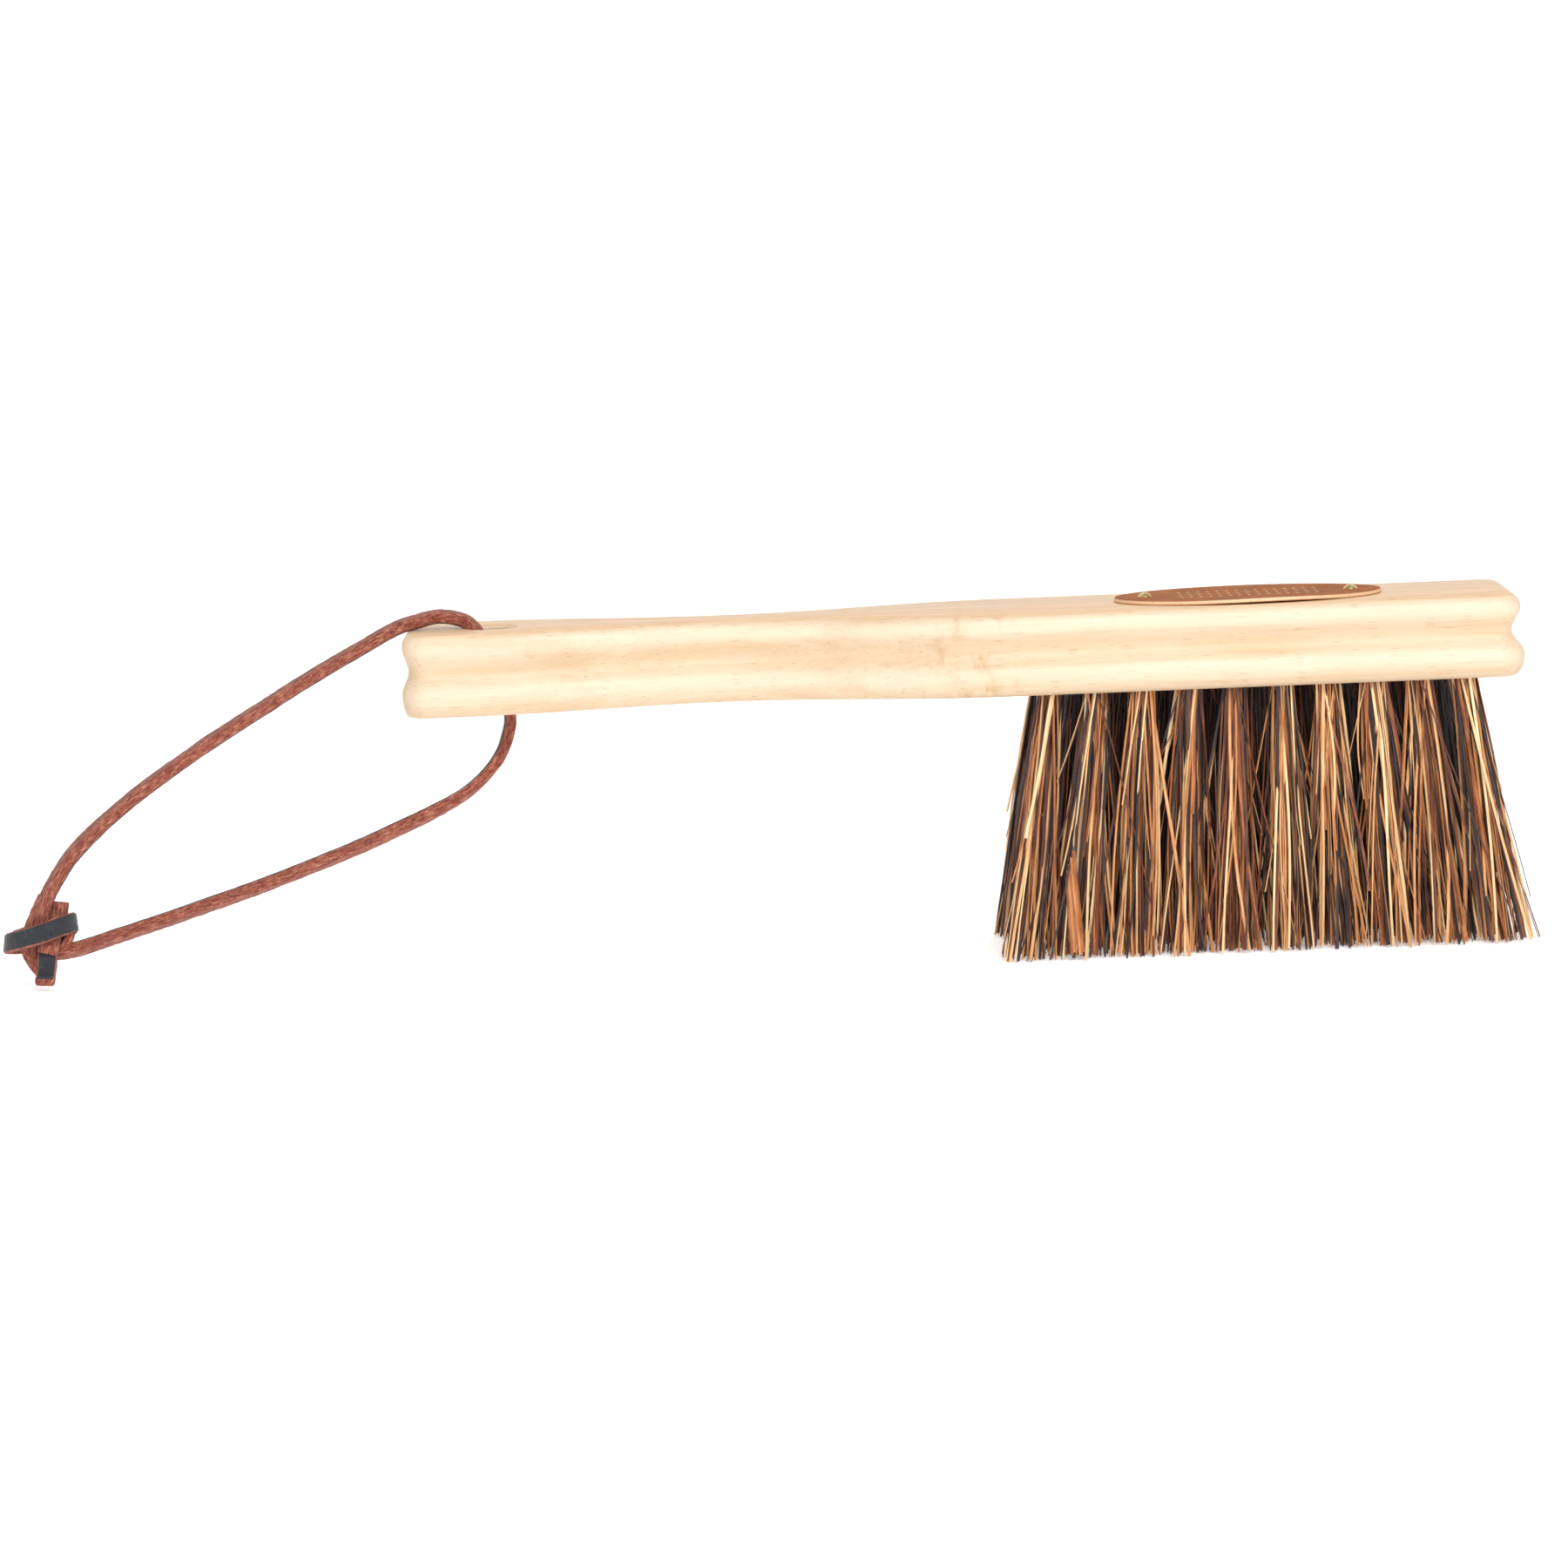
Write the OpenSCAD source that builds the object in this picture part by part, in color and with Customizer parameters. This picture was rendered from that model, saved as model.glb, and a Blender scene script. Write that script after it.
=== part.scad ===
// Hand brush. A waisted beech stock with a moulded edge holds four rows of
// leaning fibre tufts, each folded over a steel anchor in its own blind hole.
// An oval leather label is pinned to the top of the head, and a leather lace
// runs through the butt and is knotted into a loop.
//
// +X points from the butt to the head and +Z is up. The origin is on the surface
// that the fibre tips stand on, under the middle of the stock.

/* [Stock] */
// Length of the stock
stock_l = 300; // [250:1:400]
// Thickness of the stock
stock_t = 22; // [18:0.5:30]
// Width across the butt
butt_w = 40; // [30:1:56]
// Width across the waist, where the hand grips
waist_w = 21; // [16:1:40]
// Width across the head
head_w = 50; // [44:1:80]
// Length of the butt that keeps its full width
butt_l = 20; // [12:1:40]
// Distance of the waist from the butt's end
waist_at = 87; // [60:1:110]
// Length of the straight-sided head
head_l = 140; // [120:1:200]
// Radius of the corners in plan
corner_r = 7.5; // [6:0.5:12]

/* [Moulded edge] */
// Height of the lower bulge's widest line above the underside
lower_bulge_h = 5.9; // [4:0.1:8]
// Drop of the upper bulge's widest line below the top
upper_bulge_drop = 3.5; // [2:0.1:5]
// Inset of the underside's edge from the widest line
bottom_inset = 3.2; // [1:0.1:4]
// Inset of the groove's bottom
groove_inset = 3.3; // [1:0.1:4.5]
// Inset of the upper bulge
upper_bulge_inset = 0.8; // [0:0.1:2]
// Inset of the top's edge
top_inset = 3.2; // [1:0.1:4.5]
// Share of the moulding's depth that is left at the butt's end
butt_mould_share = 0.6; // [0.3:0.05:1]

/* [Tufts] */
// Height of the underside above the surface the tips stand on
fibre_h = 71; // [50:1:100]
// Diameter of a tuft's hole
tuft_hole_d = 8; // [6:0.1:8.5]
// Depth of a tuft's hole
tuft_hole_depth = 14; // [10:0.5:15]
// Clearance between a tuft and its hole
tuft_fit = 0.05; // [0.02:0.01:0.15]
// Number of tufts in an outer row
tufts_per_row = 10; // [8:1:11]
// Distance between tufts in a row
tuft_pitch = 12.3; // [11:0.1:13]
// Distance of the last tuft from the head's end
tuft_end_margin = 16; // [14:0.5:20]
// Distance of the outer rows from the head's sides
row_margin = 8.8; // [8:0.1:11]
// How far the first tufts lean towards the butt at their tips
lean_butt = 9.6; // [4:0.1:10]
// How far the last tufts lean towards the head at their tips
lean_head = 7.3; // [4:0.1:8]
// How far the outer rows lean outwards at their tips
lean_side = 4.8; // [3:0.1:8]
// Gap between the tips of two tufts in a row
tip_gap = 0.4; // [0.3:0.1:2]

/* [Tuft anchors] */
// Thickness of an anchor's flat steel wire
anchor_t = 0.5; // [0.3:0.1:0.8]
// Height of an anchor along the hole
anchor_h = 1.8; // [1.2:0.1:2.4]
// How far each end of an anchor bites into the wood
anchor_bite = 0.4; // [0.2:0.1:0.8]
// Thickness of the fibre fold between an anchor and the hole's bottom
fold_t = 1.2; // [0.8:0.1:2]

/* [Label] */
// Length of the oval label
label_l = 72; // [50:1:80]
// Thickness of the label
label_t = 1.2; // [0.8:0.1:2]
// Distance of the label's middle from the head's end
label_from_end = 72; // [60:1:80]
// Clearance between the label's edge and the edge of the flat top
label_margin = 0.8; // [0.4:0.1:4]
// Distance of each pin from the label's end
pin_inset = 8.3; // [7:0.1:12]

/* [Label pins] */
// Diameter of a pin's domed head
pin_head_d = 3.8; // [3:0.1:5]
// Height of a pin's domed head
pin_head_h = 1.1; // [0.8:0.1:1.8]
// Diameter of a pin's shank
pin_shank_d = 1.4; // [1.2:0.1:1.8]
// Length of a pin below its head
pin_l = 11; // [8:0.5:13]
// Length of a pin's point
pin_point_l = 1.6; // [1:0.1:2.5]
// Clearance round a pin's shank
pin_clearance = 0.02; // [0.01:0.01:0.05]
// Room left in the wood below a pin's point
pin_tip_room = 0.5; // [0.2:0.1:1]

/* [Lace] */
// Diameter of the lace's hole
lace_hole_d = 13; // [11:0.5:14]
// Distance of the lace's hole from the butt's end
lace_hole_at = 24; // [23:0.5:27]
// Width of the chamfer round each mouth of the hole
lace_hole_chamfer = 0.8; // [0.4:0.1:1.5]
// Width of the lace across its grain side
lace_w = 5; // [4:0.1:5.5]
// Thickness of the lace
lace_t = 3.2; // [2.5:0.1:3.5]
// Size of the lace's worn corners
lace_corner = 0.7; // [0.4:0.1:1]

/* [Hidden] */
ROW_NAMES = ["front", "front_inner", "back_inner", "back"];

// Levels and ends
butt_x = -stock_l / 2;
head_x = stock_l / 2;
under_z = fibre_h;
top_z = fibre_h + stock_t;
upper_bulge_h = stock_t - upper_bulge_drop;
groove_h = (lower_bulge_h + upper_bulge_h) / 2;
waist_x = butt_x + waist_at;
shoulder_x = head_x - head_l;
over = 1; // how far a cutting solid reaches past the face it opens

// Flat top of the head, and what is seated on it
flat_top_w = head_w - 2 * top_inset;
label_w = flat_top_w - 2 * label_margin;
label_x = head_x - label_from_end;
pin_offset = label_l / 2 - pin_inset;

// Tuft field
row_pitch = (head_w - 2 * row_margin) / 3;
field_l = (tufts_per_row - 1) * tuft_pitch;
first_tuft_x = head_x - tuft_end_margin - field_l;
tip_field_l = field_l + lean_butt + lean_head;
tip_pitch = tip_field_l / (tufts_per_row - 1);
tuft_root_r = tuft_hole_d / 2 - tuft_fit;
tuft_tip_r = (tip_pitch - tip_gap) / 2;
anchor_l = tuft_hole_d + 2 * anchor_bite;
PIN_TIP_R = 0.15;

BEECH = "#F3D7AE";
FIBRE = "#7A4A2E";
STEEL = "#9A9CA0";
LEATHER = "#A8714B";
BRASS = "#C9A24B";
LACE = "#8E4636";

// ---- Stock outline and moulding ----

function lerp(a, b, t) = a + (b - a) * t;
function ease(t) = (1 - cos(180 * max(0, min(1, t)))) / 2;

// Half width of the stock's widest outline at x
function half_w(x) =
    x < waist_x
        ? lerp(butt_w, waist_w, ease((x - butt_x - butt_l) / (waist_at - butt_l))) / 2
        : lerp(waist_w, head_w, ease((x - waist_x) / (shoulder_x - waist_x))) / 2;

SLOPE_STEP = 0.5;
function half_w_slope(x) = (half_w(x + SLOPE_STEP) - half_w(x - SLOPE_STEP)) / (2 * SLOPE_STEP);

// One side of the outline, butt to head, as [x, y, outward normal x, outward normal y]
CORNER_STEP = 15;
SIDE_STEPS = 10;
function corner(cx, cy, a) = [cx + corner_r * cos(a), cy + corner_r * sin(a), cos(a), sin(a)];
function side_point(x) =
    let (s = half_w_slope(x), n = sqrt(1 + s * s))
    [x, half_w(x), -s / n, 1 / n];
side_outline = concat(
    [for (a = [180:-CORNER_STEP:90]) corner(butt_x + corner_r, butt_w / 2 - corner_r, a)],
    [for (i = [0:SIDE_STEPS - 1]) side_point(lerp(butt_x + butt_l, waist_x, i / SIDE_STEPS))],
    [for (i = [0:SIDE_STEPS]) side_point(lerp(waist_x, shoulder_x, i / SIDE_STEPS))],
    [for (a = [90:-CORNER_STEP:0]) corner(head_x - corner_r, head_w / 2 - corner_r, a)]
);

// The moulding from the underside to the top, as [inset, height]
ARC_STEP = 22.5;
TOP_ARC_END = 60;
function wave(i0, h0, i1, h1) = [for (t = [0.25:0.25:1]) [lerp(i0, i1, ease(t)), lerp(h0, h1, t)]];
moulding = concat(
    [for (a = [0:ARC_STEP:90]) [bottom_inset * (1 - sin(a)), lower_bulge_h * (1 - cos(a))]],
    wave(0, lower_bulge_h, groove_inset, groove_h),
    wave(groove_inset, groove_h, upper_bulge_inset, upper_bulge_h),
    [for (a = [TOP_ARC_END / 4:TOP_ARC_END / 4:TOP_ARC_END]) [
        lerp(upper_bulge_inset, top_inset, (1 - cos(a)) / (1 - cos(TOP_ARC_END))),
        lerp(upper_bulge_h, stock_t, sin(a) / sin(TOP_ARC_END))
    ]]
);

// The moulding deepens from the butt's end to the waist
function mould_share(x) = lerp(butt_mould_share, 1, ease((x - butt_x) / waist_at));
function inset_point(p, inset, side) =
    let (d = inset * mould_share(p[0]))
    [p[0] - p[2] * d, side * (p[1] - p[3] * d)];

module stock_blank() {
    n = len(side_outline);
    ring = 2 * n;
    points = [
        for (m = moulding)
            for (i = [0:ring - 1])
                let (
                    p = i < n
                        ? inset_point(side_outline[i], m[0], 1)
                        : inset_point(side_outline[ring - 1 - i], m[0], -1)
                )
                [p[0], p[1], under_z + m[1]]
    ];
    top = (len(moulding) - 1) * ring;
    walls = [
        for (k = [0:len(moulding) - 2])
            for (i = [0:ring - 1])
                let (a = k * ring + i, b = k * ring + (i + 1) % ring)
                [a, b, b + ring, a + ring]
    ];
    // Each cap is strips between mirrored points, because the outline is waisted
    top_cap = [for (i = [0:n - 2]) [top + i, top + i + 1, top + ring - 2 - i, top + ring - 1 - i]];
    bottom_cap = [for (i = [0:n - 2]) [ring - 1 - i, ring - 2 - i, i + 1, i]];
    polyhedron(points, concat(walls, top_cap, bottom_cap), convexity = 6);
}

module stock() {
    color(BEECH)
    difference() {
        stock_blank();
        for (row = [0:3])
            for (i = [1:row_count(row)])
                at_tuft(row, i)
                    tuft_hole();
        anchors();
        lace_hole();
        for (side = [-1, 1])
            pin_at(side)
                pin_hole(pin_l - label_t + pin_tip_room);
    }
}

// ---- Tufts ----

// The inner rows stand half a pitch along, with one tuft fewer
function is_inner(row) = row == 1 || row == 2;
function row_count(row) = is_inner(row) ? tufts_per_row - 1 : tufts_per_row;
function row_shift(row) = is_inner(row) ? 0.5 : 0;
function row_place(row) = row - 1.5;

// Where tuft i of a row leaves the underside, and where its axis meets the ground
function tuft_share(row, i) = (i - 1 + row_shift(row)) / (tufts_per_row - 1);
function tuft_root(row, i) = [
    first_tuft_x + field_l * tuft_share(row, i),
    row_place(row) * row_pitch
];
function tuft_tip(row, i) = [
    first_tuft_x - lean_butt + tip_field_l * tuft_share(row, i),
    row_place(row) * (row_pitch + lean_side / 1.5)
];
function tuft_lean(row, i) = tuft_tip(row, i) - tuft_root(row, i);
function tuft_l(row, i) = norm([tuft_lean(row, i)[0], tuft_lean(row, i)[1], fibre_h]);

// Puts children on a tuft's axis, with z = 0 at the underside and +z into the wood
module at_tuft(row, i) {
    root = tuft_root(row, i);
    lean = tuft_lean(row, i);
    translate([root[0], root[1], under_z])
        rotate([asin(lean[1] / tuft_l(row, i)), atan2(-lean[0], fibre_h), 0])
            children();
}

module tuft_hole() {
    translate([0, 0, -over])
        cylinder(d = tuft_hole_d, h = tuft_hole_depth + over, $fn = 48);
}

module anchor() {
    translate([-anchor_t / 2, -anchor_l / 2, tuft_hole_depth - fold_t - anchor_h])
        cube([anchor_t, anchor_l, anchor_h]);
}

module anchors() {
    for (row = [0:3])
        for (i = [1:row_count(row)])
            at_tuft(row, i)
                anchor();
}

module tuft_anchors() {
    color(STEEL)
        anchors();
}

// A bundle that fills its hole, folds over its anchor and spreads to its tips
module tuft(row, i) {
    reach = tuft_l(row, i) + 2 * tuft_tip_r;
    spread = (tuft_tip_r - tuft_root_r) / tuft_l(row, i);
    color(FIBRE)
    difference() {
        at_tuft(row, i) {
            cylinder(r = tuft_root_r, h = tuft_hole_depth - tuft_fit, $fn = 48);
            translate([0, 0, -reach])
                cylinder(r1 = tuft_root_r + spread * reach, r2 = tuft_root_r, h = reach, $fn = 48);
        }
        at_tuft(row, i)
            anchor();
        translate([-stock_l, -stock_l, -stock_l])
            cube([2 * stock_l, 2 * stock_l, stock_l]);
    }
}

// ---- Label and its pins ----

module pin_at(side) {
    translate([label_x + side * pin_offset, 0, top_z + label_t])
        children();
}

// A hole for a pin's shank, down to a depth below the top of the stock
module pin_hole(depth) {
    translate([0, 0, -label_t - depth])
        cylinder(d = pin_shank_d, h = depth + label_t + over, $fn = 32);
}

module label() {
    color(LEATHER)
    difference() {
        translate([label_x, 0, top_z])
            linear_extrude(label_t)
                polygon([for (a = [0:5:355]) [label_l / 2 * cos(a), label_w / 2 * sin(a)]]);
        for (side = [-1, 1])
            pin_at(side)
                pin_hole(over);
    }
}

// A domed head on a round shank with a short point
module pin() {
    dome_r = (pow(pin_head_d / 2, 2) + pow(pin_head_h, 2)) / (2 * pin_head_h);
    shank_r = pin_shank_d / 2 - pin_clearance;
    color(BRASS) {
        intersection() {
            translate([0, 0, pin_head_h - dome_r])
                sphere(r = dome_r, $fn = 64);
            cylinder(d = pin_head_d, h = pin_head_h, $fn = 64);
        }
        translate([0, 0, pin_point_l - pin_l])
            cylinder(r = shank_r, h = pin_l - pin_point_l, $fn = 32);
        translate([0, 0, -pin_l])
            cylinder(r1 = PIN_TIP_R, r2 = shank_r, h = pin_point_l, $fn = 32);
    }
}

module label_pin_butt() {
    pin_at(-1)
        pin();
}

module label_pin_head() {
    pin_at(1)
        pin();
}

// ---- Lace ----

lace_hole_x = butt_x + lace_hole_at;

module lace_hole() {
    r = lace_hole_d / 2;
    c = lace_hole_chamfer;
    translate([lace_hole_x, 0, under_z - over])
        cylinder(r = r, h = stock_t + 2 * over, $fn = 64);
    translate([lace_hole_x, 0, top_z - c])
        cylinder(r1 = r, r2 = r + c + over, h = c + over, $fn = 64);
    translate([lace_hole_x, 0, under_z - over])
        cylinder(r1 = r + c + over, r2 = r, h = c + over, $fn = 64);
}

// Both runs start inside the hole and end in the knot
UPPER_ROUTE = [
    [-126, 0, 82], [-127.8, 0, 87.5], [-130, 0, 92], [-132.6, 0, 94.7], [-137.2, 0, 96.2],
    [-141.5, 0, 96.3], [-146, -0.4, 95.3], [-151.5, -1, 93.8], [-159.9, -1.4, 89.5],
    [-174.3, -2, 81.9], [-188.7, -2.7, 73.6], [-203.2, -3.4, 65.1], [-217.7, -4.1, 55.7],
    [-229.9, -4.7, 46.9], [-240.5, -4.9, 37.4], [-245.5, -5, 30.9], [-249.2, -5, 24.5],
    [-251, -5, 18.3]
];
LOWER_ROUTE = [
    [-126, 0, 82], [-124, 0, 76.5], [-122.3, 0, 71.2], [-122, 0, 67.5], [-122.7, 0, 64.2],
    [-124.4, 0, 59.6], [-127.4, 0, 55.1], [-132.4, -0.2, 50.2], [-138.5, -0.3, 46.2],
    [-148.1, -0.8, 41.7], [-162.5, -1.4, 35.7], [-176.9, -2, 30.4], [-191.2, -2.7, 25.5],
    [-205.5, -3.4, 21.1], [-219.8, -4.1, 16.8], [-231.7, -4.7, 13.4], [-238.9, -4.9, 11.3],
    [-245, -5, 10.1], [-248.6, -5, 9.9]
];

function unit(v) = v / norm(v);
// The direction of a route at point i; both runs leave the middle of the hole on one line
HOLE_AXIS = [-0.37, 0, 1];
function route_dir(route, i) =
    i == 0
        ? unit(HOLE_AXIS) * sign(route[1][2] - route[0][2])
        : i == len(route) - 1
            ? unit(route[i] - route[i - 1])
            : unit(unit(route[i] - route[i - 1]) + unit(route[i + 1] - route[i]));

// The lace's section has its corners worn off, and its width lies across the brush
lace_section = let (w = lace_w / 2, t = lace_t / 2, c = lace_corner) [
    [w, t - c], [w - c, t], [c - w, t], [-w, t - c],
    [-w, c - t], [c - w, -t], [w - c, -t], [w, c - t]
];
function lace_ring(centre, dir) =
    let (across = unit([0, 1, 0] - dir[1] * dir), normal = cross(dir, across))
    [for (p = lace_section) centre + p[0] * across + p[1] * normal];

module lace_run(route) {
    n = len(lace_section);
    last = len(route) - 1;
    points = [for (i = [0:last]) each lace_ring(route[i], route_dir(route, i))];
    walls = [
        for (i = [0:last - 1])
            for (j = [0:n - 1])
                let (a = i * n + j, b = i * n + (j + 1) % n)
                [a, a + n, b + n, b]
    ];
    start_cap = [for (j = [0:n - 1]) j];
    end_cap = [for (j = [n - 1:-1:0]) last * n + j];
    polyhedron(points, concat(walls, [start_cap, end_cap]), convexity = 6);
}

module lace_upper() {
    color(LACE)
        lace_run(UPPER_ROUTE);
}

module lace_lower() {
    color(LACE)
        lace_run(LOWER_ROUTE);
}

// The overhand knot as one bead with the tail that hangs from it
KNOT_LEFT = [-256.9, -5, 14.4];
KNOT_RIGHT = [-246.1, -5, 17.4];
knot_r = 4.6;
TAIL_TOP = [-249.6, -6.5, 12.2];
tail_l = 11.5;

module lace_knot() {
    color(LACE)
    difference() {
        union() {
            hull() {
                translate(KNOT_LEFT)
                    sphere(r = knot_r, $fn = 24);
                translate(KNOT_RIGHT)
                    sphere(r = knot_r, $fn = 24);
            }
            translate(TAIL_TOP - [lace_w / 2, lace_t / 2, tail_l])
                cube([lace_w, lace_t, tail_l]);
        }
        lace_run(UPPER_ROUTE);
        lace_run(LOWER_ROUTE);
    }
}

stock();
for (row = [0:3])
    for (i = [1:row_count(row)])
        tuft(row, i);
tuft_anchors();
label();
label_pin_butt();
label_pin_head();
lace_upper();
lace_lower();
lace_knot();
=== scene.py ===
"""Visual of the hand brush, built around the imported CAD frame.

The stock, the fibre tufts, the label, the lace and its knot are rebuilt here with more detail than the
CAD bodies they stand for. The label's pins and the tufts' anchors are the CAD nodes in better finishes.
"""

import logging
import math
import random
from dataclasses import dataclass, field, replace
from enum import Enum

import bmesh
import bpy
from mathutils import Matrix, Quaternion, Vector


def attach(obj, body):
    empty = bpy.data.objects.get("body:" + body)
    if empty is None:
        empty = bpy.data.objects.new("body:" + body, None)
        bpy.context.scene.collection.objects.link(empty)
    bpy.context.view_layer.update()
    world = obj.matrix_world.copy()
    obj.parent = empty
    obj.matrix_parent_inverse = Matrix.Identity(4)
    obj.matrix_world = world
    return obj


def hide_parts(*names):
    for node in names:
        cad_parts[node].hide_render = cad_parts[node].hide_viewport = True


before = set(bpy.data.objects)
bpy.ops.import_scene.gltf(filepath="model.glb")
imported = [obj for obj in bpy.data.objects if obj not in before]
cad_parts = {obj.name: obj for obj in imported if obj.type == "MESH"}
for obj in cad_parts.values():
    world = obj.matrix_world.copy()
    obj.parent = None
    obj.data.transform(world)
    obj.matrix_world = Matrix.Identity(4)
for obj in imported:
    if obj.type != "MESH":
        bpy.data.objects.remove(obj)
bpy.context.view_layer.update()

log = logging.getLogger("hand_brush")

MM = 0.001
SPLINE_CUTS = 12
Colour = tuple[float, float, float, float]
Point = tuple[float, float, float]
Socket = bpy.types.NodeSocket
Material = bpy.types.Material
BMesh = bmesh.types.BMesh


class Axis(Enum):
    """Directions of the row frame."""

    X = Vector((1, 0, 0))
    Y = Vector((0, 1, 0))
    Z = Vector((0, 0, 1))


def srgb(code: str) -> Colour:
    """Converts a colour code to linear light.

    Args:
        code: Six hex digits, with or without a leading hash.

    Returns:
        Linear red, green and blue, and an alpha of 1.
    """
    digits = code.lstrip("#")
    channels = (int(digits[i : i + 2], 16) / 255 for i in (0, 2, 4))
    linear = (c / 12.92 if c <= 0.04045 else ((c + 0.055) / 1.055) ** 2.4 for c in channels)
    return (*linear, 1.0)


def ease(t: float) -> float:
    """Eases from 0 to 1 along half a cosine wave."""
    return (1 - math.cos(math.pi * min(1.0, max(0.0, t)))) / 2


def lerp(a: float, b: float, t: float) -> float:
    """Blends from a to b."""
    return a + (b - a) * t


def add_node(
    tree: bpy.types.NodeTree, kind: str, inputs: dict | None = None, **settings
) -> bpy.types.Node:
    """Adds a shader node, sets its properties, and fills or links its inputs.

    Args:
        tree: The node tree that takes the node.
        kind: The node's type name.
        inputs: Socket name or number to a value, or to the output socket that feeds it.
        **settings: Properties of the node itself.

    Returns:
        The new node.
    """
    node = tree.nodes.new(kind)
    for name, value in settings.items():
        setattr(node, name, value)
    for socket, value in (inputs or {}).items():
        if isinstance(value, Socket):
            tree.links.new(value, node.inputs[socket])
        else:
            node.inputs[socket].default_value = value
    return node


class Shader:
    """A material's node tree, with the few patterns that the finishes share."""

    def __init__(self, name: str) -> None:
        self.material = bpy.data.materials.new(name)
        self.material.use_nodes = True
        self.tree = self.material.node_tree
        self.tree.nodes.clear()

    def add(self, kind: str, inputs: dict | None = None, **settings) -> bpy.types.Node:
        """Adds a node to this material."""
        return add_node(self.tree, kind, inputs, **settings)

    def object_space(self, x: float, y: float, z: float) -> Socket:
        """Gives object coordinates in cells, from a cell's size along each axis in millimetres."""
        place = self.add("ShaderNodeTexCoord").outputs["Object"]
        scale = (1 / (x * MM), 1 / (y * MM), 1 / (z * MM))
        return self.add("ShaderNodeMapping", {"Vector": place, "Scale": scale}).outputs["Vector"]

    def uv_space(self, u: float, v: float) -> Socket:
        """Gives a strand's own map in cells, from a cell's size round it and along it in millimetres."""
        place = self.add("ShaderNodeUVMap", uv_map="strand").outputs["UV"]
        scale = (1 / u, 1 / v, 1)
        return self.add("ShaderNodeMapping", {"Vector": place, "Scale": scale}).outputs["Vector"]

    def attribute(self, name: str) -> Socket:
        """Reads a number that the mesh carries."""
        return self.add("ShaderNodeAttribute", attribute_name=name).outputs["Fac"]

    def noise(self, space: Socket, detail: float = 3.0, rough: float = 0.5) -> Socket:
        """Adds noise with cells of the space's size."""
        inputs = {"Vector": space, "Scale": 1.0, "Detail": detail, "Roughness": rough}
        return self.add("ShaderNodeTexNoise", inputs).outputs["Fac"]

    def ramp(self, factor: Socket, *stops: tuple[float, str]) -> Socket:
        """Maps a number to colours at the given positions."""
        node = self.add("ShaderNodeValToRGB", {"Fac": factor})
        elements = node.color_ramp.elements
        while len(elements) < len(stops):
            elements.new(1.0)
        for element, (position, code) in zip(elements, stops):
            element.position = position
            element.color = srgb(code)
        return node.outputs["Color"]

    def span(
        self, value: Socket, low: float, high: float, to_low: float = 0.0, to_high: float = 1.0
    ) -> Socket:
        """Maps a range of numbers to another, held at its ends."""
        inputs = {"Value": value, "From Min": low, "From Max": high, "To Min": to_low, "To Max": to_high}
        return self.add("ShaderNodeMapRange", inputs).outputs["Result"]

    def mix(self, factor: Socket, a: Socket | Colour, b: Socket | Colour) -> Socket:
        """Mixes two colours."""
        return self.add("ShaderNodeMix", {0: factor, 6: a, 7: b}, data_type="RGBA").outputs[2]

    def maths(self, operation: str, a: Socket | float, b: Socket | float = 0.0) -> Socket:
        """Combines two numbers."""
        return self.add("ShaderNodeMath", {0: a, 1: b}, operation=operation).outputs["Value"]

    def axes(self) -> dict[str, Socket]:
        """Gives the place in the object along each axis, in millimetres."""
        place = self.add("ShaderNodeSeparateXYZ", {"Vector": self.object_space(1, 1, 1)})
        return {axis.name: place.outputs[axis.name] for axis in Axis}

    def bump(self, height: Socket, depth: float, under: Socket | None = None) -> Socket:
        """Raises a pattern by a depth in millimetres, on top of another bump if one is given."""
        inputs = {"Height": height, "Distance": depth * MM, "Strength": 1.0}
        if under is not None:
            inputs["Normal"] = under
        return self.add("ShaderNodeBump", inputs).outputs["Normal"]

    def surface(self, **inputs) -> Material:
        """Finishes the material with a principled surface; underscores in names stand for spaces."""
        named = {name.replace("_", " "): value for name, value in inputs.items()}
        principled = self.add("ShaderNodeBsdfPrincipled", named)
        self.add("ShaderNodeOutputMaterial", {"Surface": principled.outputs["BSDF"]})
        return self.material


# ---- Finishes ----


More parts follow.
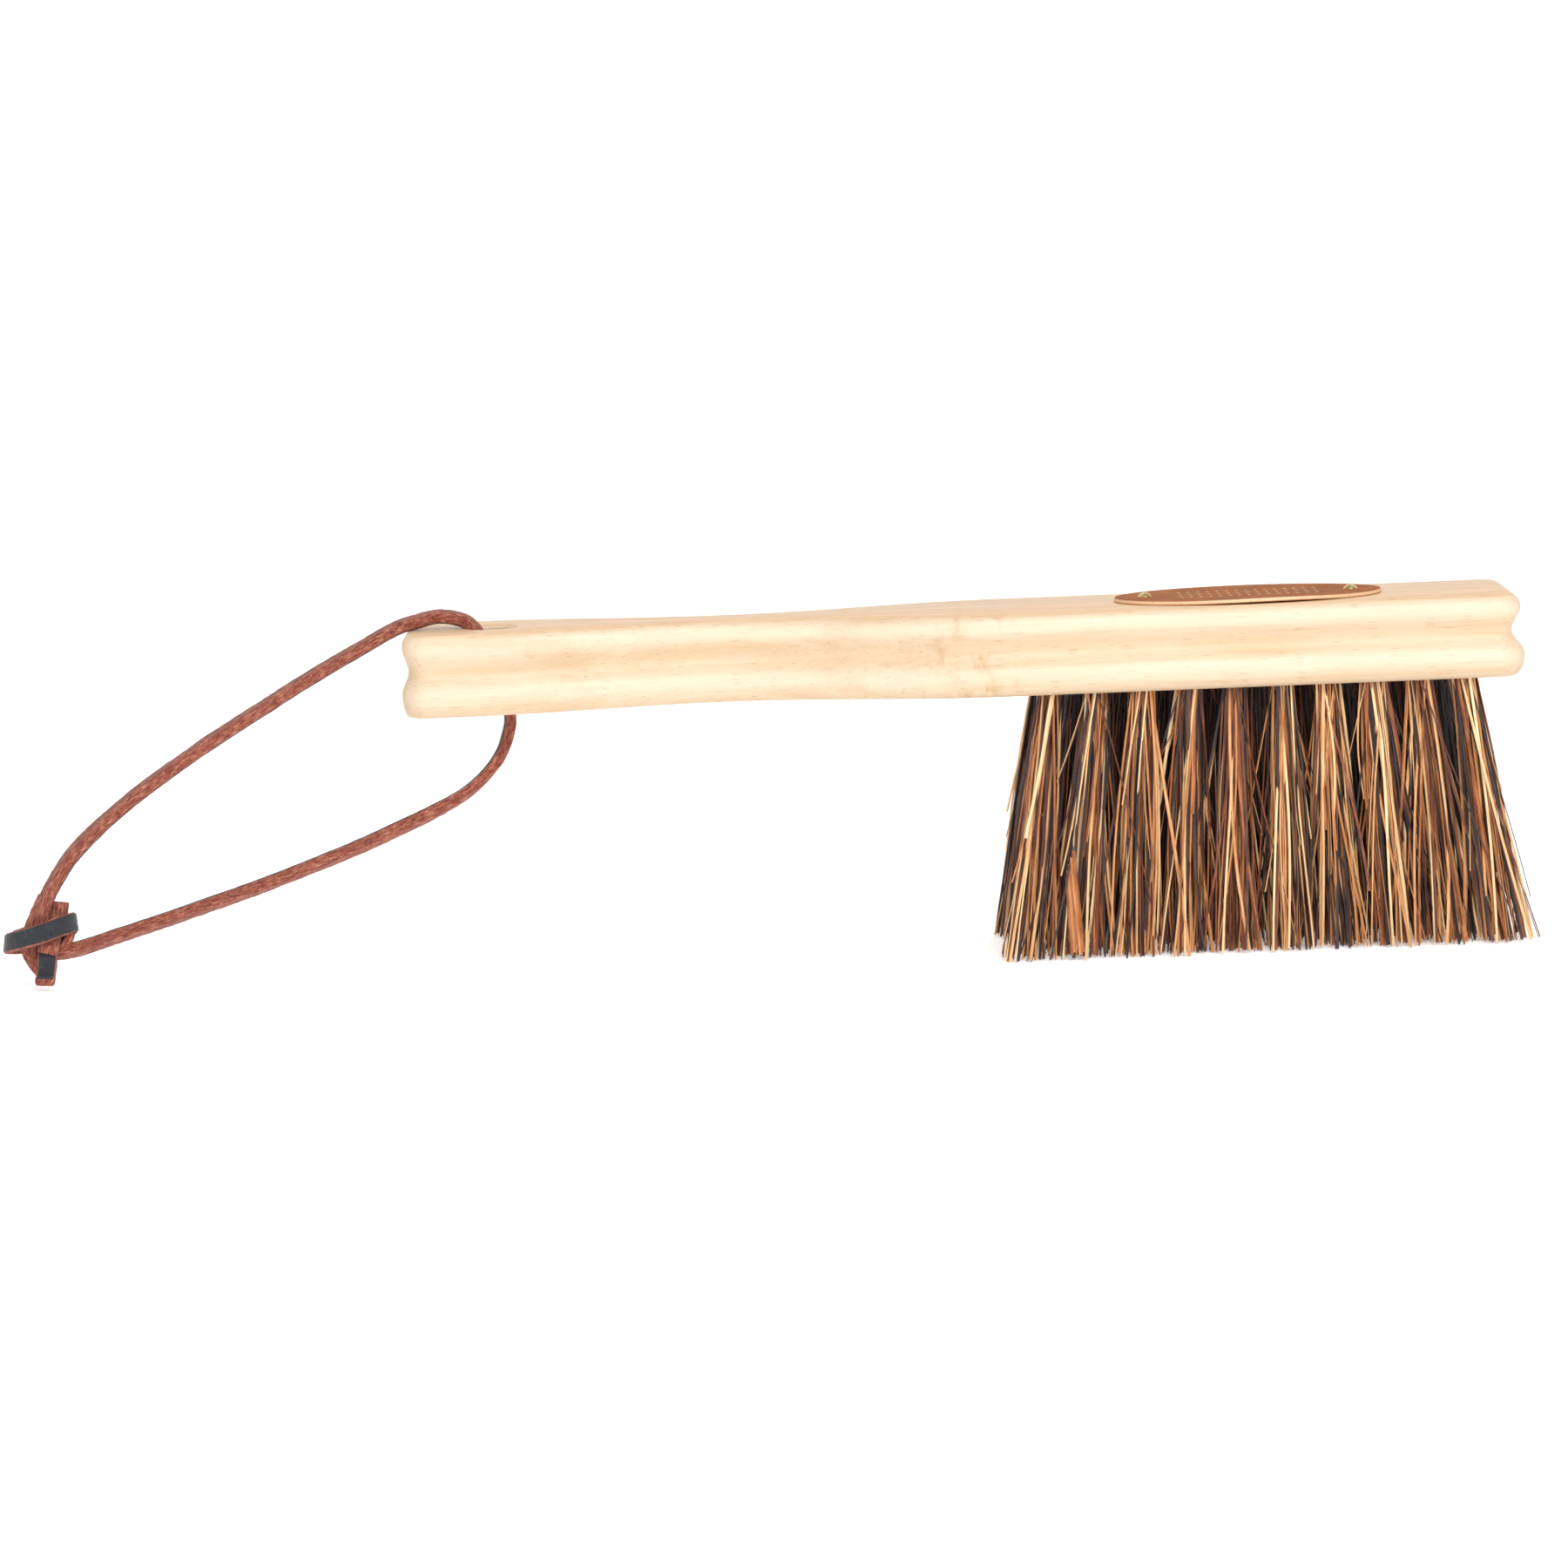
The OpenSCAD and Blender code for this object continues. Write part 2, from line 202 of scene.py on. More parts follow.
@dataclass(frozen=True)
class BeechFinish:
    """Sanded beech, its grain along X: pale, with short brown flecks.

    Attributes:
        pale: Colour between the rings.
        warm: Colour of the darker rings.
        fleck: Colour of the rays, short brown dashes along the grain.
        figure: Colour of the curly figure at the neck.
        figure_at: Middle of the figure along X in millimetres.
        band_z: Height of the lower raised band in millimetres.
        band_pitch: Height between the two raised bands.
        top_z: Height where the flat top's painted shade starts.
    """

    pale: str = "#E2CBAD"
    middle: str = "#DDC19D"
    warm: str = "#D6B791"
    fleck: str = "#B4855A"
    figure: str = "#C0935F"
    # Painted highlight on the raised bands
    band: str = "#F1E4CF"
    # Painted shade in the groove and along the lower edge
    groove: str = "#CBA97F"
    # Painted shade of the flat top: its darker, pinker tones and rings
    top_shade_pale: str = "#EAC59B"
    top_shade_warm: str = "#D5A97C"
    top_shade_ring: str = "#D9AF82"
    tube: str = "#B98F66"
    end: str = "#DDBB90"
    figure_at: float = 1.0
    band_z: float = 76.9
    band_pitch: float = 12.6
    top_z: float = 92.3

    def build(self) -> Material:
        """Builds the material."""
        s = Shader("beech")
        # Rings drift slowly along the board and change every few millimetres across it
        drift = s.noise(s.object_space(90, 7, 9), 3, 0.55)
        base = s.ramp(drift, (0.28, self.warm), (0.52, self.pale), (0.75, self.middle))
        rings = s.noise(s.object_space(120, 1.6, 1.9), 2)
        base = s.mix(s.span(rings, 0.56, 0.72, 0, 0.38), base, srgb(self.warm))
        # Pores are hair-fine streaks; rays are dashes about 3 mm by 0.4 mm
        pores = s.noise(s.object_space(5, 0.22, 0.22), 2, 0.6)
        base = s.mix(s.span(pores, 0.56, 0.75, 0, 0.34), base, srgb(self.fleck))
        cells = s.add("ShaderNodeTexVoronoi", {"Vector": s.object_space(5.0, 0.62, 0.58), "Scale": 1.0})
        dash = s.span(cells.outputs["Distance"], 0.2, 0.34, 1, 0)
        lot = s.add("ShaderNodeSeparateColor", {"Color": cells.outputs["Color"]}).outputs[0]
        rays = s.maths("MULTIPLY", dash, s.span(lot, 0.74, 0.82))
        # Soft brown streaks a few centimetres long
        streaks = s.noise(s.object_space(26, 0.8, 0.9), 3, 0.6)
        base = s.mix(s.span(streaks, 0.56, 0.74, 0, 0.24), base, srgb(self.fleck))
        base = s.mix(s.maths("MULTIPLY", rays, 0.42), base, srgb(self.fleck))
        # The figure is a patch about 30 mm wide with wavy cross lines
        place = s.axes()
        off = s.maths("ABSOLUTE", s.maths("SUBTRACT", place["X"], self.figure_at))
        curl = s.noise(s.object_space(3.2, 14, 5), 4, 0.6)
        patch = s.maths("MULTIPLY", s.span(off, 4, 20, 1, 0), s.span(curl, 0.48, 0.68, 0, 0.6))
        base = s.mix(patch, base, srgb(self.figure))
        # Painted highlight and shade of the moulding: the raised bands are tinted pale as highlight, the
        # groove and the lower edge warmer and darker as shade
        rise = s.maths("SUBTRACT", place["Z"], self.band_z)
        wave = s.maths("COSINE", s.maths("MULTIPLY", rise, math.tau / self.band_pitch))
        base = s.mix(s.span(wave, 0, 1, 0, 0.36), base, srgb(self.band))
        base = s.mix(s.span(wave, 0, -1, 0, 0.24), base, srgb(self.groove))
        # Painted shade: the flat top takes darker, pinker tones for how the light falls on it; the cut ends
        # take a pinker tone
        top = s.ramp(streaks, (0.4, self.top_shade_pale), (0.66, self.top_shade_warm))
        top = s.mix(s.maths("MULTIPLY", rays, 0.5), top, srgb(self.fleck))
        top = s.mix(s.span(rings, 0.5, 0.7, 0, 0.5), top, srgb(self.top_shade_ring))
        base = s.mix(s.span(place["Z"], self.top_z, self.top_z + 0.6, 0, 0.82), base, top)
        tubes = s.noise(s.object_space(40, 0.5, 0.5), 3, 0.7)
        cut = s.ramp(tubes, (0.35, self.tube), (0.6, self.end))
        base = s.mix(s.maths("MULTIPLY", s.attribute("end_grain"), 0.4), base, cut)
        relief = s.bump(pores, 0.03)
        relief = s.bump(rays, -0.02, relief)
        rough = s.span(drift, 0.3, 0.7, 0.42, 0.5)
        return s.surface(
            Base_Color=base, Roughness=rough, IOR=1.5, Normal=relief, Specular_IOR_Level=0.5
        )


@dataclass(frozen=True)
class PalmFibreFinish:
    """Stiff palm fibre, ridged and glossy, each fibre from near black to light tan.

    Attributes:
        tones: Stops of the tone ramp.
    """

    tones: tuple[tuple[float, str], ...] = (
        (0.0, "#1F1718"),
        (0.2, "#3E3133"),
        (0.3, "#4A2417"),
        (0.48, "#98522D"),
        (0.64, "#D48A50"),
        (0.82, "#F4BC7E"),
        (1.0, "#FFE3B2"),
    )

    def build(self) -> Material:
        """Builds the material."""
        s = Shader("palm fibre")
        tone = s.attribute("tone")
        # Ridges run the fibre's whole length, a few to each fibre's width
        ridges = s.noise(s.uv_space(0.26, 60), 3, 0.65)
        # Stains and scars are patches a few millimetres long
        stains = s.noise(s.uv_space(0.9, 7), 3, 0.6)
        shifted = s.maths("ADD", tone, s.span(ridges, 0.27, 0.73, -0.24, 0.2))
        shifted = s.maths("ADD", shifted, s.span(stains, 0.3, 0.7, -0.1, 0.08))
        base = s.ramp(shifted, *self.tones)
        relief = s.bump(ridges, 0.2)
        relief = s.bump(stains, 0.05, relief)
        rough = s.span(stains, 0.3, 0.7, 0.27, 0.47)
        return s.surface(
            Base_Color=base, Roughness=rough, IOR=1.5, Normal=relief, Specular_IOR_Level=0.7
        )


@dataclass(frozen=True)
class LabelLeatherFinish:
    """Vegetable-tanned leather, smooth on top, paler and fibrous at its cut edge.

    Attributes:
        face: Colour of the grain side.
        dark: Its darker clouds and pores.
        light: Its lighter clouds.
        edge: Colour of the cut edge.
        edge_low: Its darker fibres.
        mark: Colour of the pricked marks.
        marks_x: Middle of the marks along X in millimetres.
        marks_l: Length of a row of marks.
        marks_w: Width over the rows.
        mark_pitch: Distance between marks in a row.
        row_pitch: Distance between rows.
    """

    face: str = "#A6622C"
    dark: str = "#844A26"
    light: str = "#B87641"
    edge: str = "#F3CFAA"
    edge_low: str = "#CF9C76"
    mark: str = "#F4DAB6"
    marks_x: float = 78.0
    marks_l: float = 38.0
    marks_w: float = 16.8
    mark_pitch: float = 2.6
    row_pitch: float = 6.2

    def build(self) -> Material:
        """Builds the material."""
        s = Shader("vegetable-tanned leather")
        # Cloudy tone every 9 mm or so, and pores 0.5 mm apart
        clouds = s.noise(s.object_space(9, 7, 9), 4, 0.6)
        cells = {"Vector": s.object_space(0.55, 0.55, 0.55), "Scale": 1.0}
        pores = s.add("ShaderNodeTexVoronoi", cells).outputs["Distance"]
        fine = s.noise(s.object_space(0.4, 0.4, 0.4), 3, 0.7)
        base = s.ramp(clouds, (0.3, self.dark), (0.5, self.face), (0.72, self.light))
        base = s.mix(s.span(fine, 0.42, 0.62, 0, 0.5), base, srgb(self.dark))
        # Three rows of pricked tool marks, evenly spaced, run between the pins
        place = s.axes()
        along = s.maths("SUBTRACT", place["X"], self.marks_x)
        in_pitch = s.maths("PINGPONG", along, self.mark_pitch / 2)
        in_row = s.maths("PINGPONG", place["Y"], self.row_pitch / 2)
        pricks = s.span(in_pitch, 0.25, 0.5, 1, 0)
        for part in (
            s.span(in_row, 0.5, 0.8, 1, 0),
            s.span(s.maths("ABSOLUTE", along), self.marks_l / 2, self.marks_l / 2 + 0.2, 1, 0),
            s.span(s.maths("ABSOLUTE", place["Y"]), self.marks_w / 2, self.marks_w / 2 + 0.2, 1, 0),
            s.span(fine, 0.35, 0.55),
        ):
            pricks = s.maths("MULTIPLY", pricks, part)
        base = s.mix(s.maths("MULTIPLY", pricks, 0.95), base, srgb(self.mark))
        cut = s.ramp(fine, (0.3, self.edge_low), (0.5, self.edge))
        base = s.mix(s.attribute("cut_edge"), base, cut)
        relief = s.bump(pores, 0.05)
        relief = s.bump(fine, 0.04, relief)
        rough = s.span(clouds, 0.3, 0.7, 0.58, 0.7)
        return s.surface(
            Base_Color=base, Roughness=rough, IOR=1.5, Normal=relief, Specular_IOR_Level=0.07
        )


@dataclass(frozen=True)
class LaceLeatherFinish:
    """Lace cut from oiled leather: black grain on one face, rough red-brown flesh on the others."""

    flesh: str = "#9C4F3C"
    # Pale fuzz of the flesh side, partly a painted highlight
    fuzz_highlight: str = "#CF8A70"
    # Painted shade between the loose fibres
    shade: str = "#5E261C"
    worn: str = "#7F3829"
    grain: str = "#141519"
    grain_pale: str = "#2B2E35"
    # Painted sheen on the crease ridges of the grain side
    painted_sheen: str = "#59616C"

    def build(self) -> Material:
        """Builds the material."""
        s = Shader("lace leather")
        # Loose fibres of the flesh side, half a millimetre across and a few millimetres long: pale fuzz
        # partly a painted highlight, with painted shade between
        nap = s.noise(s.uv_space(0.55, 2.6), 6, 0.78)
        patches = s.noise(s.uv_space(2.2, 9), 3, 0.6)
        flesh = s.ramp(nap, (0.38, self.shade), (0.48, self.flesh), (0.6, self.fuzz_highlight))
        flesh = s.mix(s.span(patches, 0.42, 0.62, 0, 0.6), flesh, srgb(self.worn))
        # Creases of the grain side lie across the lace every 0.8 mm; their ridges carry a painted sheen of
        # pale blue-grey
        creases = s.noise(s.uv_space(2.5, 0.8), 4, 0.65)
        grain = s.ramp(creases, (0.35, self.grain), (0.6, self.grain_pale), (0.8, self.painted_sheen))
        frayed = s.maths("ADD", s.attribute("grain"), s.span(nap, 0.3, 0.7, -0.12, 0.12))
        mask = s.span(frayed, 0.42, 0.58)
        base = s.mix(mask, flesh, grain)
        rough = s.add("ShaderNodeMix", {0: mask, 2: 0.9, 3: 0.34}, data_type="FLOAT").outputs[0]
        relief = s.bump(nap, 0.5)
        relief = s.bump(creases, 0.2, relief)
        return s.surface(
            Base_Color=base, Roughness=rough, IOR=1.5, Normal=relief,
            Sheen_Weight=0.12, Sheen_Roughness=0.5,
        )


@dataclass(frozen=True)
class BrassFinish:
    """Pressed brass, polished, with handling marks."""

    bright: str = "#E8D9A0"
    dull: str = "#B08D45"

    def build(self) -> Material:
        """Builds the material."""
        s = Shader("brass")
        wear = s.noise(s.object_space(1.2, 1.2, 1.2), 4, 0.6)
        marks = s.noise(s.object_space(0.08, 1.5, 0.4), 2)
        base = s.ramp(wear, (0.32, self.dull), (0.62, self.bright))
        rough = s.span(wear, 0.3, 0.7, 0.34, 0.2)
        return s.surface(Base_Color=base, Metallic=1.0, Roughness=rough, Normal=s.bump(marks, 0.01))


@dataclass(frozen=True)
class SteelFinish:
    """Flat drawn steel wire, its drawing lines along Y."""

    bright: str = "#A9ABAE"
    dull: str = "#74777B"
    stain: str = "#6B5C4E"

    def build(self) -> Material:
        """Builds the material."""
        s = Shader("drawn steel")
        # Drawing lines are hair-fine across the wire and run its whole length
        lines = s.noise(s.object_space(0.06, 14, 0.06), 2, 0.6)
        spots = s.noise(s.object_space(1.5, 1.5, 1.5), 3, 0.6)
        base = s.ramp(lines, (0.3, self.dull), (0.7, self.bright))
        base = s.mix(s.span(spots, 0.55, 0.75, 0, 0.5), base, srgb(self.stain))
        rough = s.span(spots, 0.3, 0.7, 0.3, 0.45)
        return s.surface(Base_Color=base, Metallic=1.0, Roughness=rough, Normal=s.bump(lines, 0.008))


@dataclass(frozen=True)
class SweepFinish:
    """The plain pale sweep that the brush stands on."""

    tone: str = "#FBFBFB"
    glow: float = 0.34

    def build(self) -> Material:
        """Builds the material."""
        s = Shader("pale sweep")
        return s.surface(
            Base_Color=srgb(self.tone), Roughness=0.9,
            Emission_Color=srgb("#FFFFFF"), Emission_Strength=self.glow,
        )


# ---- Mesh helpers ----


def loft(bm: BMesh, rings: list[list[Vector]]) -> None:
    """Extrudes a flat cap through rings of points; its last copy closes the far end.

    Args:
        bm: A mesh that holds only the cap.
        rings: Places of the cap's vertices at each further ring, in the vertices' order.
    """
    number = bm.verts.layers.int.new("number")
    for i, vert in enumerate(bm.verts):
        vert[number] = i
    cap = bm.faces[:]
    for step, ring in enumerate(rings):
        grown = bmesh.ops.extrude_face_region(bm, geom=cap)["geom"]
        if step:
            bmesh.ops.delete(bm, geom=cap, context="FACES")
        for vert in grown:
            if isinstance(vert, bmesh.types.BMVert):
                vert.co = ring[vert[number]]
        cap = [face for face in grown if isinstance(face, bmesh.types.BMFace)]
    bm.verts.layers.int.remove(bm.verts.layers.int["number"])


def new_object(name: str, bm: BMesh, material: Material, smooth_angle: float = 35) -> bpy.types.Object:
    """Turns a bmesh into an object at the origin, shaded smooth with sharp edges kept.

    Args:
        name: The piece's name.
        bm: The mesh to take; it is freed.
        material: The finish of every face.
        smooth_angle: Edges sharper than this many degrees stay sharp.

    Returns:
        The linked object.
    """
    bmesh.ops.recalc_face_normals(bm, faces=bm.faces)
    mesh = bpy.data.meshes.new(name)
    bm.to_mesh(mesh)
    bm.free()
    mesh.polygons.foreach_set("use_smooth", [True] * len(mesh.polygons))
    mesh.set_sharp_from_angle(angle=math.radians(smooth_angle))
    mesh.materials.append(material)
    obj = bpy.data.objects.new(name, mesh)
    bpy.context.scene.collection.objects.link(obj)
    return obj


def dress(obj: bpy.types.Object, node: str) -> None:
    """Puts a piece on the body's root and hides the CAD node that it stands for."""
    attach(obj, "root")
    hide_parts(node)
    log.info("%s stands for %s", obj.name, node)


def set_attribute(mesh: bpy.types.Mesh, name: str, domain: str, values: list[float]) -> None:
    """Stores one number per vertex or per face on a mesh."""
    mesh.attributes.new(name, "FLOAT", domain).data.foreach_set("value", values)


def spline(points: list[Vector], step: float) -> list[Vector]:
    """Resamples a smooth line through points at an even step.

    Args:
        points: The points that the line passes through.
        step: Length between the new points.

    Returns:
        Points along the line, its two ends included.
    """
    dense: list[Vector] = []
    for i in range(len(points) - 1):
        p0, p1 = points[max(0, i - 1)], points[i]
        p2, p3 = points[i + 1], points[min(len(points) - 1, i + 2)]
        square, cube = 2 * p0 - 5 * p1 + 4 * p2 - p3, 3 * p1 - p0 - 3 * p2 + p3
        for k in range(SPLINE_CUTS):
            t = k / SPLINE_CUTS
            dense.append(0.5 * (2 * p1 + (p2 - p0) * t + square * t**2 + cube * t**3))
    dense.append(points[-1].copy())
    reach = [0.0]
    for a, b in zip(dense, dense[1:]):
        reach.append(reach[-1] + (b - a).length)
    count = max(2, round(reach[-1] / step))
    even, j = [], 0
    for i in range(count + 1):
        target = reach[-1] * i / count
        while j < len(reach) - 2 and reach[j + 1] < target:
            j += 1
        share = (target - reach[j]) / max(reach[j + 1] - reach[j], 1e-12)
        even.append(dense[j].lerp(dense[j + 1], share))
    return even


# ---- Stock ----


@dataclass
class Stock:
    """The beech stock: a waisted board with a moulded edge. Sizes are in millimetres.

    The outline's corners are cut every corner_turn degrees and its sides in side_steps, from the share
    side_start of the butt to corner_gap short of the head's corner. The moulding is cut in arc_steps
    below, wave_steps for each side of the groove, and top_steps over the last top_turn degrees.
    """

    length: float = 300.0
    thickness: float = 22.0
    under_z: float = 71.0
    butt_w: float = 40.0
    waist_w: float = 21.0
    head_w: float = 50.0
    butt_l: float = 20.0
    waist_at: float = 87.0
    head_l: float = 140.0
    corner_r: float = 7.5
    lower_bulge_h: float = 5.9
    upper_bulge_drop: float = 3.5
    bottom_inset: float = 3.2
    groove_inset: float = 3.3
    upper_bulge_inset: float = 0.8
    top_inset: float = 3.2
    butt_share: float = 0.6
    lace_hole_d: float = 13.0
    lace_hole_at: float = 24.0
    lace_hole_chamfer: float = 0.8
    side_steps: int = 90
    side_start: float = 0.6
    corner_gap: float = 3.0
    corner_turn: int = 6
    arc_steps: int = 8
    wave_steps: int = 10
    top_steps: int = 7
    top_turn: float = 60.0
    end_grain_l: float = 4.5

    @property
    def butt_x(self) -> float:
        """The butt's end along X."""
        return -self.length / 2

    def half_w(self, x: float) -> float:
        """Half width of the widest outline at x."""
        waist_x = self.butt_x + self.waist_at
        if x < waist_x:
            share = (x - self.butt_x - self.butt_l) / (self.waist_at - self.butt_l)
            return lerp(self.butt_w, self.waist_w, ease(share)) / 2
        shoulder_x = self.length / 2 - self.head_l
        return lerp(self.waist_w, self.head_w, ease((x - waist_x) / (shoulder_x - waist_x))) / 2

    def outline(self) -> list[tuple[float, float, float, float]]:
        """One side of the outline, butt to head, as x, y and the outward normal."""
        side = []
        head_x, r = self.length / 2, self.corner_r
        for a in range(180, 89, -self.corner_turn):
            c, s = math.cos(math.radians(a)), math.sin(math.radians(a))
            side.append((self.butt_x + r + r * c, self.butt_w / 2 - r + r * s, c, s))
        start, end = self.butt_x + self.butt_l * self.side_start, head_x - r - self.corner_gap
        for i in range(self.side_steps + 1):
            x = lerp(start, end, i / self.side_steps)
            slope = self.half_w(x + 0.5) - self.half_w(x - 0.5)
            n = math.hypot(1, slope)
            side.append((x, self.half_w(x), -slope / n, 1 / n))
        for a in range(90, -1, -self.corner_turn):
            c, s = math.cos(math.radians(a)), math.sin(math.radians(a))
            side.append((head_x - r + r * c, self.head_w / 2 - r + r * s, c, s))
        return side

    def moulding(self) -> list[tuple[float, float]]:
        """The edge's section from the underside to the top, as inset and height."""
        upper_h = self.thickness - self.upper_bulge_drop
        groove_h = (self.lower_bulge_h + upper_h) / 2
        section = []
        for k in range(self.arc_steps + 1):
            a = math.radians(k * 90 / self.arc_steps)
            section.append((self.bottom_inset * (1 - math.sin(a)), self.lower_bulge_h * (1 - math.cos(a))))
        for i0, h0, i1, h1 in (
            (0.0, self.lower_bulge_h, self.groove_inset, groove_h),
            (self.groove_inset, groove_h, self.upper_bulge_inset, upper_h),
        ):
            for k in range(1, self.wave_steps + 1):
                t = k / self.wave_steps
                section.append((lerp(i0, i1, ease(t)), lerp(h0, h1, t)))
        turn = math.radians(self.top_turn)
        for k in range(1, self.top_steps + 1):
            a = turn * k / self.top_steps
            inset = lerp(self.upper_bulge_inset, self.top_inset, (1 - math.cos(a)) / (1 - math.cos(turn)))
            section.append((inset, lerp(upper_h, self.thickness, math.sin(a) / math.sin(turn))))
        return section

    def mould_share(self, x: float) -> float:
        """How much of the moulding's depth is cut at x."""
        return lerp(self.butt_share, 1, ease((x - self.butt_x) / self.waist_at))

    def ring(self, inset: float, height: float) -> list[Vector]:
        """The whole outline at one height of the moulding, in metres."""
        ring, side = [], self.outline()
        for sign, points in ((1, side), (-1, side[::-1])):
            for x, y, nx, ny in points:
                depth = inset * self.mould_share(x)
                ring.append(Vector((x - nx * depth, sign * (y - ny * depth), self.under_z + height)) * MM)
        return ring

    def blank(self) -> BMesh:
        """Builds the uncut stock from its underside, a strip of faces across the board."""
        first, *rings = (self.ring(inset, height) for inset, height in self.moulding())
        bm = bmesh.new()
        verts = [bm.verts.new(point) for point in first]
        for i in range(len(verts) // 2 - 1):
            bm.faces.new((verts[i], verts[i + 1], verts[-2 - i], verts[-1 - i]))
        loft(bm, rings)
        return bm

    def lace_hole(self) -> BMesh:
        """Builds the solid that cuts the lace's hole, wider at both mouths."""
        r, c, over = self.lace_hole_d / 2, self.lace_hole_chamfer, 1.0
        under, top = self.under_z, self.under_z + self.thickness
        stations = (
            (under - over, r + c + over), (under, r + c), (under + c, r),
            (top - c, r), (top, r + c), (top + over, r + c + over),
        )
        bm = bmesh.new()
        bmesh.ops.create_circle(bm, cap_ends=True, segments=48, radius=1.0)
        circle, x = [vert.co.copy() for vert in bm.verts], self.butt_x + self.lace_hole_at
        first, *rings = ([Vector((x + p.x * w, p.y * w, z)) * MM for p in circle] for z, w in stations)
        for vert, point in zip(bm.verts, first):
            vert.co = point
        loft(bm, rings)
        return bm

    def cut(self, obj: bpy.types.Object, tool: BMesh) -> None:
        """Cuts a solid out of the stock and applies it."""
        bmesh.ops.recalc_face_normals(tool, faces=tool.faces)
        mesh = bpy.data.meshes.new("cutter")
        tool.to_mesh(mesh)
        tool.free()
        cutter = bpy.data.objects.new("cutter", mesh)
        bpy.context.scene.collection.objects.link(cutter)
        modifier = obj.modifiers.new("cut", "BOOLEAN")
        modifier.operation, modifier.solver, modifier.object = "DIFFERENCE", "EXACT", cutter
        with bpy.context.temp_override(object=obj, active_object=obj, selected_objects=[obj]):
            bpy.ops.object.modifier_apply(modifier=modifier.name)
        bpy.data.objects.remove(cutter)
        bpy.data.meshes.remove(mesh)

    def build(self, finish: BeechFinish, tuft_holes: BMesh) -> bpy.types.Object:
        """Builds and dresses the stock.

        Args:
            finish: The wood.
            tuft_holes: The solids that cut the tufts' holes.

        Returns:
            The stock's object.
        """
        obj = new_object("beech_stock", self.blank(), finish.build())
        self.cut(obj, self.lace_hole())
        self.cut(obj, tuft_holes)
        mesh = obj.data
        mesh.set_sharp_from_angle(angle=math.radians(40))
        ends = [0.0] * len(mesh.vertices)
        for v in mesh.vertices:
            near = self.length / 2 - abs(v.co.x) / MM
            facing = min(1.0, abs(v.normal.x) * 1.15)
            ends[v.index] = max(0.0, min(1.0, 1 - near / self.end_grain_l)) * facing
        set_attribute(mesh, "end_grain", "POINT", ends)
        dress(obj, "stock")
        return obj


# ---- Tufts ----


@dataclass(frozen=True)
class Row:
    """One row of tufts.

    Attributes:
        name: Name of its nodes, less their number.
        piece: Name of its pieces, less their number.
        place: Its place across the brush, in row pitches from the middle.
        count: Number of tufts.
        shift: How far it starts past the outer rows, in tuft pitches.
        fibres: Stiff fibres in each tuft.
        light: Share of the full tone that its fibres keep; below 1 it is painted shade.
    """

    name: str
    piece: str
    place: float
    count: int
    shift: float
    fibres: int
    light: float


@dataclass(frozen=True)
class Fibre:
    """One fibre. Sizes are in millimetres.

    Attributes:
        line: Its stations, root first.
        width: Its greater width.
        flat: Its thickness as a share of its width.
        twist: The turn of its section in radians.
        end_share: Width at the tip as a share of the width at the root.
        tone: Its colour, from 0 for near black to 1 for light tan.
    """

    line: list[Vector]
    width: float
    flat: float
    twist: float
    end_share: float
    tone: float


